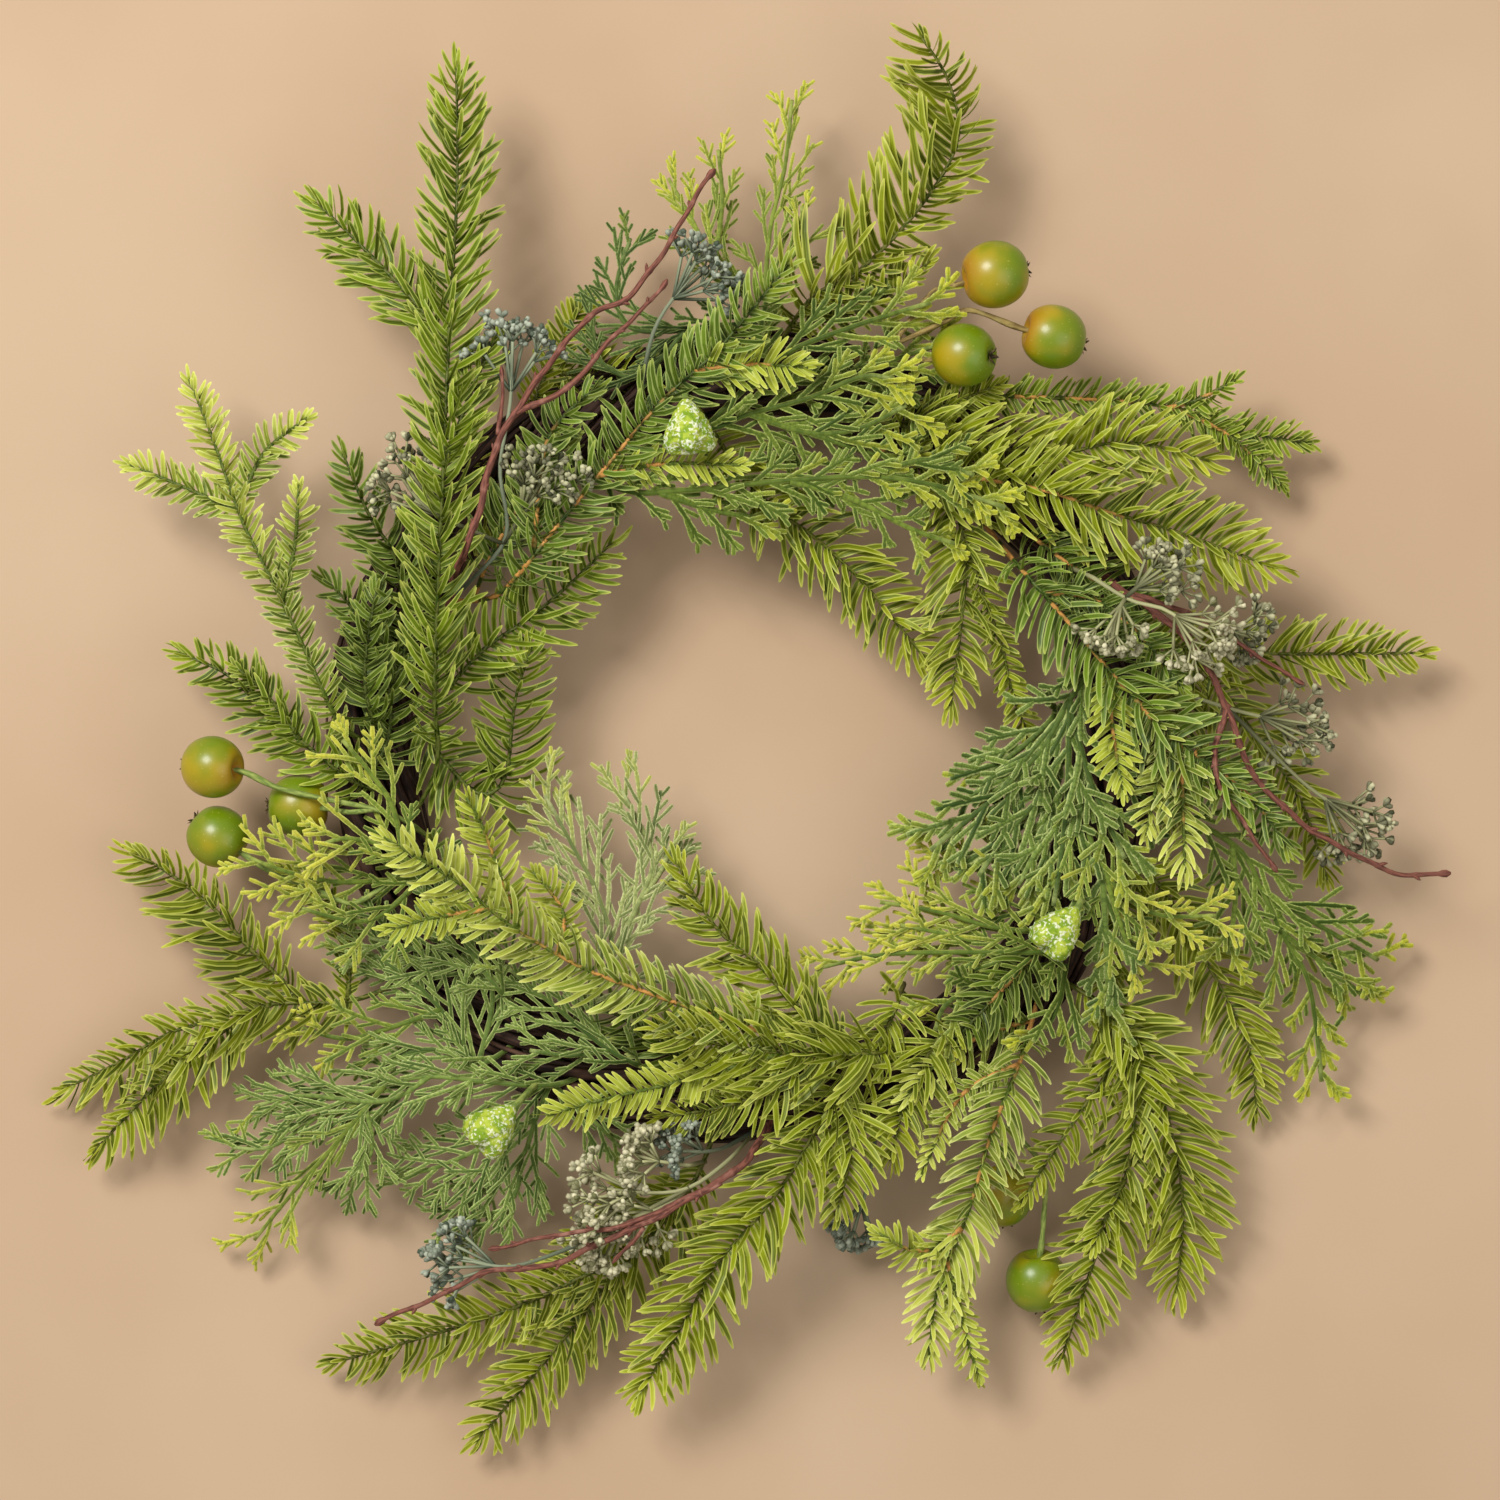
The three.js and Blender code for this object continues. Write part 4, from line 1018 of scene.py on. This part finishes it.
def cedar_fronds(growth, line, reach, young, bare, habit, rng):
    """A loose flat fan: long branchlets leave the shoot to either hand in turn at a narrow angle,
    a few shorter ones leave those in the same way, and they all droop a little."""
    thick, spread, gap = habit
    count = max(5, int(length_of(line) * (1.0 - bare) / gap))
    order = np.arange(count)
    share = bare + (1.0 - bare) * (order + rng.uniform(0.2, 0.6, count)) / count
    point, ahead = at_shares(line, share)
    over = unit(aside(ahead, UP + rng.normal(0, 0.16, (count, 3))))
    hand = by_turns(count)
    leaf = forks(ahead, over, hand, rng.normal(spread, 7, count), rng.normal(0.04, 0.12, count))
    profile = (0.75 + 0.25 * smooth((share - bare) / 0.2)) * (1.0 - 0.45 * share ** 2.5)
    size = reach / SIDE_REACH * profile * rng.uniform(0.75, 1.15, count)
    turn = (rng.normal(0.04, 0.1, count)[:, None] * unit(aside(leaf, ahead))
            - rng.uniform(0.0, 0.16, count)[:, None] * UP)
    first = sweep(point, leaf, turn, size, FIRST_AT)
    scaly(growth, first, 1.2 * thick, age_column(share, young, rng))

    parent = np.repeat(order, len(FORKS_AT))
    f = np.tile(FORKS_AT, count) + rng.uniform(-0.04, 0.04, len(parent))
    kept = rng.random(len(parent)) < 0.8
    hand = np.tile(by_turns(len(FORKS_AT)), count)[kept]
    parent, f = parent[kept], f[kept]
    few = len(parent)
    here = (point[parent] + size[parent, None]
            * (f[:, None] * leaf[parent] + f[:, None] ** 2 * turn[parent]))
    along = unit(leaf[parent] + 2 * f[:, None] * turn[parent])
    hand = hand * by_turns(count)[parent]
    twig = forks(along, over[parent], hand, rng.normal(spread + 5, 8, few), rng.normal(0.02, 0.2, few))
    small = size[parent] * (0.44 - 0.32 * f) * rng.uniform(0.55, 1.3, few) + 2.5
    turn = 0.08 * unit(aside(twig, along)) - 0.05 * UP
    second = sweep(here, twig, turn, small, SECOND_AT)
    scaly(growth, second, thick, age_column(share[parent], young, rng))
    cedar_stem(growth, line, thick, rng)


def cedar_stem(growth, line, thick, rng):
    """The scaly stem of a fan: it thins to its tip and swells a little at every other step."""
    steps = int(length_of(line) / 3.0)
    spine = even(line, steps)[None]
    share = np.linspace(0.0, 1.0, steps)
    radius = ((0.8 + 0.6 * thick - 0.4 * share) * np.where(np.arange(steps) % 2, 1.06, 0.94))[None]
    across, over = level_frame(spine)
    growth.bars(spine, across, over, radius, radius * 0.8, CEDAR_STEM, rng.integers(0, TINTS), share)


# Heads of buds: the ribs of large ones and of small ones, the forks of a rib from left to right,
# and how many buds end a fork.
LARGE_HEAD = 15
LARGE_RIBS, SMALL_RIBS = 9, 6
HEAD_FORKS = np.array([-1.3, -0.4, 0.4, 1.3])
BUNCH = 7
BUD_AT = np.array([0.0, 0.3, 0.72, 1.0])
BUD_WIDTH = np.array([0.45, 1.0, 0.85, 0.2])
FLARED_BUD = np.array([0.3, 0.6, 1.0, 0.7])


def stalks(growth, feet, tops, radius, over):
    """Thin stalks from feet to tops that set out ahead and curve up to their tops."""
    reach = (tops - feet)[:, None]
    bow = 0.18 * np.linalg.norm(reach, axis=2, keepdims=True) * over
    t = np.linspace(0.0, 1.0, 4)
    step = t[None, :, None]
    lines = feet[:, None] + step * reach - step * (1 - step) * bow
    across, top = level_frame(lines)
    wide = np.full(lines.shape[:2], radius)
    growth.bars(lines, across, top, wide, wide, ROUND[4], GREEN_STEM, t)


def bunches(growth, tops, leaf, over, facing, rng):
    """A bunch of small flared buds on each top, spread evenly about its direction."""
    parent = np.repeat(np.arange(len(tops)), BUNCH)
    turn = rng.uniform(0, 2 * np.pi, len(parent))
    spread = 1.1 * np.sqrt((np.tile(np.arange(BUNCH), len(tops)) + 0.4) / BUNCH)
    onward, tilt = leaf[parent], unit(np.cross(over, leaf))[parent]
    bud = unit(onward + (spread * np.cos(turn))[:, None] * tilt
               + (spread * np.sin(turn))[:, None] * np.cross(tilt, onward) + 0.25 * over)
    size = rng.uniform(2.8, 4.8, len(parent))
    lines = sweep(tops[parent] - 0.3 * bud, bud, np.zeros_like(bud), size, BUD_AT)
    across, top = level_frame(lines, facing[:, None])
    wide = (size * 0.28)[:, None] * FLARED_BUD
    tints = rng.integers(0, STEM_COLUMN, len(parent))
    growth.bars(lines, across, top, wide, wide, ROUND[6], tints, BUD_AT)


def bud_head(growth, line, radius, rng):
    """An open head of buds: ribs part from one place well below it and fan out, each forks into
    four, and every fork ends in a bunch of small flared buds."""
    root_at = max(0.0, 1.0 - 1.5 * radius / length_of(line))
    middle, ahead = at_shares(line, np.array([1.0]))
    below, _ = at_shares(line, np.array([root_at]))
    side = unit(np.cross(UP, ahead))
    over = np.cross(ahead, side)
    ribs = LARGE_RIBS if radius > LARGE_HEAD else SMALL_RIBS
    fan = np.linspace(-1.0, 1.0, ribs) + rng.normal(0.0, 0.12, ribs)
    rise = 0.35 * np.where(np.arange(ribs) % 2, 1.0, -0.6) + rng.normal(0.0, 0.15, ribs)
    push = 0.1 - 0.4 * fan ** 2 + rng.normal(0.0, 0.12, ribs)
    knots = below + rng.uniform(0.4, 0.82, ribs)[:, None] * (middle - below + radius * (
        0.85 * fan[:, None] * side + push[:, None] * ahead + rise[:, None] * over))
    stalks(growth, np.repeat(below, ribs, 0), knots, 0.72, over)

    parent = np.repeat(np.arange(ribs), len(HEAD_FORKS))
    part = np.tile(HEAD_FORKS, ribs) + rng.normal(0.0, 0.25, len(parent))
    onward = unit(knots[parent] - below)
    leaf = unit(onward + 0.75 * part[:, None] * unit(np.cross(over, onward))
                + rng.normal(0.12, 0.35, (len(parent), 1)) * over)
    tops = knots[parent] + (radius * rng.uniform(0.2, 0.52, len(parent)))[:, None] * leaf
    stalks(growth, knots[parent], tops, 0.5, over)
    bunches(growth, tops, leaf, over, side + 0.3 * ahead, rng)


# How far apart a twig's nodes are, and how many steps at its tip bear no buds.
NODE_GAP = 17.0
BARE_TIP = 6


def spurs(growth, line, over, at, radius, column, rng):
    """Short pointed buds that leave a twig to either hand in turn."""
    point, ahead = line[at], unit(np.gradient(line, axis=0))[at]
    count = len(at)
    bud = forks(ahead, over[at], by_turns(count), np.full(count, 40.0), rng.normal(0.3, 0.3, count))
    size = rng.uniform(2.2, 4.2, count) * radius / 1.6
    lines = sweep(point, bud, np.zeros_like(bud), size, BUD_AT)
    side, top = level_frame(lines)
    wide = np.full((count, 1), radius * 0.5) * BUD_WIDTH
    growth.bars(lines, side, top, wide, wide, ROUND[5], column, BUD_AT)


def red_twig(growth, line, radius, rng):
    """A woody twig: it thins and wavers, swells at its nodes and ends in a pointed bud."""
    length = length_of(line)
    steps = max(8, int(length / 1.8))
    share = np.linspace(0.0, 1.0, steps)
    line = even(line, steps)
    beat = share * length / NODE_GAP
    waver = 0.5 * np.sin(beat * 2.1 + radius) + 0.3 * np.sin(beat * 4.7)
    across, over = level_frame(line[None])
    line = line + waver[:, None] * across[0]
    wide = radius * (1.0 - 0.45 * share) * (0.95 + 0.28 * bell(beat % 1.0 - 0.5, 0.07))
    wide[-3:] = radius * np.array([0.85, 0.9, 0.3])
    column = rng.integers(0, COLUMNS - 1)
    growth.tube(line, wide, 8, column, zigzag(beat * 0.5))
    at = np.flatnonzero(np.diff((beat - 0.5).astype(int)) > 0)
    at = at[at < steps - BARE_TIP]
    if len(at):
        spurs(growth, line, over[0], at, radius, column, rng)


def fruit_stalk(growth, line, rng):
    """A smooth fruit stalk that swells where it meets the fruit."""
    steps = max(8, int(length_of(line) / 2.5))
    share = np.linspace(0.0, 1.0, steps)
    wide = 1.15 + 0.35 * bell(share - 0.84, 0.05) + 0.1 * np.sin(share * 41.0)
    growth.tube(even(line, steps), wide, 8, rng.integers(0, 8), zigzag(share * 4.0))


# ------------------------------------------------------------------ pieces

# How much of a first shoot and of a later one bears no leaves.
FIRST_BARE, LATER_BARE = 0.12, 0.04


def laid_piece(node, kind, look, layer, shoots, part, finishes, rng):
    """One spray, sprig or twig, from the routes of its shoots: a piece for each look in it."""
    growths = {}
    for number, (line, shoot) in enumerate(zip(shoot_lines(layer, shoots), shoots)):
        half = shoot[1]
        bare = LATER_BARE if number else FIRST_BARE
        own = OWN_LOOKS.get((node, number), look) if part == "grown" else look
        growth = growths.setdefault(own, Growth())
        if kind == "fir":
            fir_shoot(growth, line, half, own, bare, node, number, rng)
        elif kind == "cedar":
            cedar_fronds(growth, line, half * 1.15, YOUNG[own], bare, CEDAR_HABIT[own], rng)
        elif kind == "seeded":
            stem(growth, line[:int(LINE_POINTS * 0.9)], 1.1, 0.8, GREEN_STEM)
            bud_head(growth, line, half, rng)
        elif kind == "twig":
            red_twig(growth, line, 0.92 * half, rng)
        else:
            fruit_stalk(growth, line, rng)
    for own, growth in growths.items():
        grown(f"{node}_{part}_{own}", growth, finishes[kind, own], node)


def coil_line(turns, out, phase_shift=0.0):
    """The vines' middle line: a circle round the ring's middle, with a strand that winds about
    it at a distance out. The ring itself waves a little."""
    angle = turns * 2 * np.pi
    phase = turns * TWISTS_PER_TURN * 2 * np.pi + phase_shift
    loose = LOOSENESS * (1 + np.sin(turns * 9.1))
    radius = RING_RADIUS + RING_WAVE * np.sin(2 * angle + 1) + FINE_WAVE * np.sin(5 * angle)
    out = out + loose * np.maximum(0, np.sin(phase))
    reach = radius + out * np.cos(phase)
    return np.column_stack([reach * np.cos(angle), reach * np.sin(angle),
                            RING_HEIGHT + out * np.sin(phase)])


TENDRILS = 8
TENDRIL_HEIGHT = 2.2
RINGS_PER_TURN, TENDRIL_RINGS_PER_TURN = 230, 160
KNOBS_PER_TURN = 11.3
BARK_BEATS = 14.0


def tendril(growth, start, end, rng):
    """A thin tendril that winds loosely over a stretch of a vine."""
    span = rng.uniform(0.35, 0.8)
    begin = start + rng.uniform(0, end - start)
    thin = np.linspace(begin, begin + span, int(span * TENDRIL_RINGS_PER_TURN))
    drift = rng.uniform(0, 2 * np.pi) + (thin - begin) * rng.uniform(-14, 14)
    out = BUNDLE_RADIUS + VINE_RADIUS + rng.uniform(0.2, 1.4) + 0.8 * np.sin(thin * 23.0)
    line = coil_line(thin, out, drift)
    line[:, 2] = np.maximum(line[:, 2], TENDRIL_HEIGHT)
    radius = rng.uniform(0.8, 1.5) * np.linspace(1.0, 0.6, len(thin))
    growth.tube(line, radius, 5, rng.integers(0, COLUMNS - 1), zigzag(thin * BARK_BEATS))


def vines(finishes, rng):
    """Four vines of about three turns each, knobbed and barked, and the thin tendrils that wind
    over each of them."""
    ends = VINE_CUTS[1:] + [RING_TURNS + VINE_CUTS[0]]
    for number, (start, end) in enumerate(zip(VINE_CUTS, ends), 1):
        growth = Growth()
        turns = np.linspace(start, end - VINE_GAP, int((end - start) * RINGS_PER_TURN))
        knob = bell(turns * KNOBS_PER_TURN % 1.0 - 0.5, 0.05)
        wide = VINE_RADIUS * (0.9 + 0.06 * np.sin(turns * 31.0) + 0.16 * knob)
        column = rng.integers(0, COLUMNS - 1)
        growth.tube(coil_line(turns, BUNDLE_RADIUS), wide, 8, column, zigzag(turns * BARK_BEATS))
        for _ in range(TENDRILS):
            tendril(growth, start, end, rng)
        node = f"vine_{number}"
        grown(f"{node}_bark", growth, finishes["vine", "brown"], node)


def turned(points, degrees, tip, middle):
    """Points with +Z turned to look so many degrees round from +X and tipped up, about a middle."""
    look, lean = math.radians(degrees), math.radians(90 - tip)
    east, north = math.cos(look), math.sin(look)
    about_y = np.array([[math.cos(lean), 0, math.sin(lean)], [0, 1, 0],
                        [-math.sin(lean), 0, math.cos(lean)]])
    about_z = np.array([[east, -north, 0], [north, east, 0], [0, 0, 1]])
    return points @ (about_z @ about_y).T + middle


def ring_grid(rows, columns):
    """Each ring's share of the way from the far end to the stalk's, and the angles round it."""
    row = np.linspace(0.0, 1.0, rows)[:, None]
    angle = (np.arange(columns) * 2 * np.pi / columns)[None, :]
    return row, angle


def globe(name, angle, out, height, ripe, finish, node, place):
    """A closed round skin: rings of points, so far out from an axis and so high along it, closed
    by a point at each end. How ripe each ring is drives its finish."""
    rows, columns = out.shape
    body = np.stack([out * np.cos(angle), out * np.sin(angle), height], -1).reshape(-1, 3)
    ends = np.array([[0, 0, height[0].mean()], [0, 0, height[-1].mean()]])
    points = turned(np.concatenate([body, ends]), *place) + TO_FRAME
    quads, tris = skin_faces(rows, columns)
    mesh = mesh_of(name, points, quads, tris, np.ones(len(quads) + len(tris), bool))
    tint = np.repeat(ripe.ravel(), columns)
    tint = np.concatenate([tint, [tint[0], tint[-1]]]).astype(np.float32)
    mesh.attributes.new("ripeness", "FLOAT", "POINT").data.foreach_set("value", tint)
    put(name, mesh, finish, node)


def apple_skin(name, number, radius, ripe, place, finish):
    """An apple's skin: a squat ball, a sine outward and a cosine along its axis, with five faint
    ribs near its ends, a deep dimple at the stalk and a small one at the flower end."""
    row, angle = ring_grid(36, 40)
    ribs = 1 + 0.018 * np.cos(5 * angle + number) * np.abs(2 * row - 1) ** 2
    squat = np.sin(np.pi * row) ** 0.92
    out = radius * squat * ribs * (1 + 0.012 * np.sin(2 * angle + number))
    arc = -np.cos(np.pi * row) * 1.02
    dimple = 0.3 * bell(1 - row, 0.085) - 0.16 * bell(row, 0.07)
    height = radius * (arc - dimple + 0.012 * np.cos(angle + number))
    globe(name + "_skin", angle, out, height, row + ripe - 1.0, finish, name, place)


SEPALS = 5


def dry_flower(name, radius, place, finish):
    """The small dry leaves that stand out round an apple's flower end."""
    growth = Growth()
    angle = np.arange(SEPALS) * 2 * np.pi / SEPALS
    foot = np.full(SEPALS, -0.88 * radius)
    root = np.column_stack([0.6 * np.cos(angle), 0.6 * np.sin(angle), foot])
    leaf = unit(np.column_stack([np.cos(angle), np.sin(angle), np.full(SEPALS, -1.3)]))
    lines = sweep(root, leaf, 0.35 * unit(root * [1, 1, 0]), np.full(SEPALS, 3.4), BUD_AT)
    across, top = level_frame(lines)
    wide = np.full((SEPALS, 1), 0.9) * BUD_WIDTH
    growth.bars(lines, across, top, wide, wide * 0.4, ROUND[4], 0, BUD_AT)
    growth.points = [turned(points, *place) for points in growth.points]
    grown(name + "_flower_end", growth, finish, name)


def apples(finishes):
    """Crab apples, each a skin with the dry remains of its flower."""
    for number, (name, spot, height, radius, towards, tip, ripe) in enumerate(APPLES):
        place = (towards, tip, np.array([*on_grid(spot)[0], height]))
        apple_skin(name, number, radius, ripe, place, finishes["apple"])
        dry_flower(name, radius, place, finishes["dry flower"])


# A cone's outline from its far end to its stalk: how wide it is at shares of its length.
CONE_AT = [0, 0.03, 0.1, 0.22, 0.4, 0.62, 0.82, 0.94, 1.0]
CONE_WIDTH = [0.03, 0.45, 0.82, 1.0, 0.96, 0.78, 0.5, 0.3, 0.16]
CONE_RADIUS = 10.2
CONE_STRETCH = 1.08


def cone_pod(name, number, towards, middle, finish):
    """A cone: narrow at the stalk, flared to four blunt lobes at the far end, and lumpy all over
    where waves round it and waves along it meet."""
    row, angle = ring_grid(44, 60)
    lobes = (1.0 - row) ** 1.5 * np.cos(4 * angle + 1.3 * number)
    large = np.sin(angle * 5 + row * 17 + number) * np.sin(row * 29 - angle * 2)
    small = (0.7 * np.sin(angle * 9 - row * 37 + 2 * number)
             * np.sin(row * 23 + angle * 4 + number))
    flare = np.interp(row, CONE_AT, CONE_WIDTH)
    out = CONE_RADIUS * flare * (1 + 0.15 * lobes) + 0.45 * (large + small) * flare
    height = CONE_STRETCH * CONE_LENGTH * (row - 0.5) - 1.5 * lobes + 1.6 * bell(row, 0.05)
    globe(name + "_pod", angle, out, height, row, finish, name, (towards, 0, middle))


def cone_stalk(name, towards, middle, root, finish, rng):
    """A stalk from the ring to the cone's narrow end: (1 - t)² foot + 2t (1 - t) bend + t² neck."""
    foot = np.array([*on_grid(root)[0], ROOT_HEIGHT])
    look = math.radians(towards)
    neck = middle + 0.5 * CONE_LENGTH * np.array([math.cos(look), math.sin(look), 0])
    bend = neck + 6 * np.array([math.cos(look), math.sin(look), -0.4])
    t = np.linspace(0, 1, 14)
    s = t[:, None]
    line = (1 - s) ** 2 * foot + 2 * s * (1 - s) * bend + s ** 2 * neck
    growth = Growth()
    growth.tube(line, np.linspace(1.2, 1.6, len(t)), 8, rng.integers(0, 8), t)
    grown(name + "_stalk", growth, finish, name)


def cones(finishes, rng):
    """Small frosted cones on bent stalks."""
    for number, (name, spot, height, towards, root) in enumerate(CONES):
        middle = np.array([*on_grid(spot)[0], height])
        cone_pod(name, number, towards, middle, finishes["cone"])
        cone_stalk(name, towards, middle, root, finishes["stalk", "green"], rng)


# ------------------------------------------------------------------ table, light and camera

# In metres: where each light stands, how wide it is and its power in watts.
LIGHTS = {"key": ((-1.35, 1.35, 2.6), 1.25, 97.0), "fill": ((1.1, -0.3, 1.8), 1.6, 10.0)}
ROOM_LIGHT, ROOM_COLOUR = 0.38, (1.0, 0.97, 0.93, 1.0)
EYE_DISTANCE = 2.2
# The height above the table at which the view is as wide as the grid.
TRUE_HEIGHT = 0.045
TABLE_WIDTH = 8.0


def lay_table():
    """A pale plastered table under the wreath."""
    bpy.ops.mesh.primitive_plane_add(size=TABLE_WIDTH, location=(0, 0, 0))
    floor = bpy.context.object
    floor.name = "table"
    finish = Finish("table_plaster", 0.9, specular=0.2)
    cloud = finish.noise(finish.place(), 3.0, 4.0).ramp(0.3, 0.7)
    finish.colour(finish.mix(cloud, paint(188, 158, 127), paint(198, 171, 141)))
    floor.data.materials.append(finish.material)


def add_object(name, data):
    """A light or a camera as an object of the scene."""
    thing = bpy.data.objects.new(name, data)
    bpy.context.scene.collection.objects.link(thing)
    return thing


def light_room():
    """Soft light from above and to the left, a little from the right, and a pale room."""
    for name, (spot, size, power) in LIGHTS.items():
        light = bpy.data.lights.new(name, "AREA")
        light.size, light.energy = size, power
        lamp = add_object(name, light)
        lamp.location = spot
        x, y, z = spot
        lamp.rotation_euler = (math.atan2(math.hypot(x, y), z), 0.0, math.atan2(-y, -x) - math.pi / 2)
    world = bpy.data.worlds.new("room")
    world.use_nodes = True
    room = world.node_tree.nodes["Background"].inputs
    room["Color"].default_value = ROOM_COLOUR
    room["Strength"].default_value = ROOM_LIGHT
    bpy.context.scene.world = world


def aim_camera():
    """A camera looking straight down, which sees just the whole grid."""
    camera = bpy.data.cameras.new("camera")
    camera.sensor_fit = "HORIZONTAL"
    camera.angle = 2 * math.atan(GRID_WIDTH * GRID_STEP * MILLIMETRE / 2 / EYE_DISTANCE)
    eye = add_object("camera", camera)
    x, y = (on_grid(VIEW_MIDDLE)[0] + TO_FRAME[:2]) * MILLIMETRE
    eye.location = (x, y, EYE_DISTANCE + TRUE_HEIGHT)
    bpy.context.scene.camera = eye
    bpy.context.scene.view_settings.view_transform = "Standard"


def build():
    """The whole scene: table, light, camera and every piece of the wreath."""
    lay_table()
    light_room()
    aim_camera()
    finishes = make_finishes()
    vines(finishes, np.random.default_rng(5))
    apples(finishes)
    cones(finishes, np.random.default_rng(6))
    for number, piece in enumerate(LAID):
        laid_piece(*piece, "grown", finishes, np.random.default_rng(100 + number))
    for number, piece in enumerate(FILLERS):
        laid_piece(*piece, "filler", finishes, np.random.default_rng(200 + number))


build()
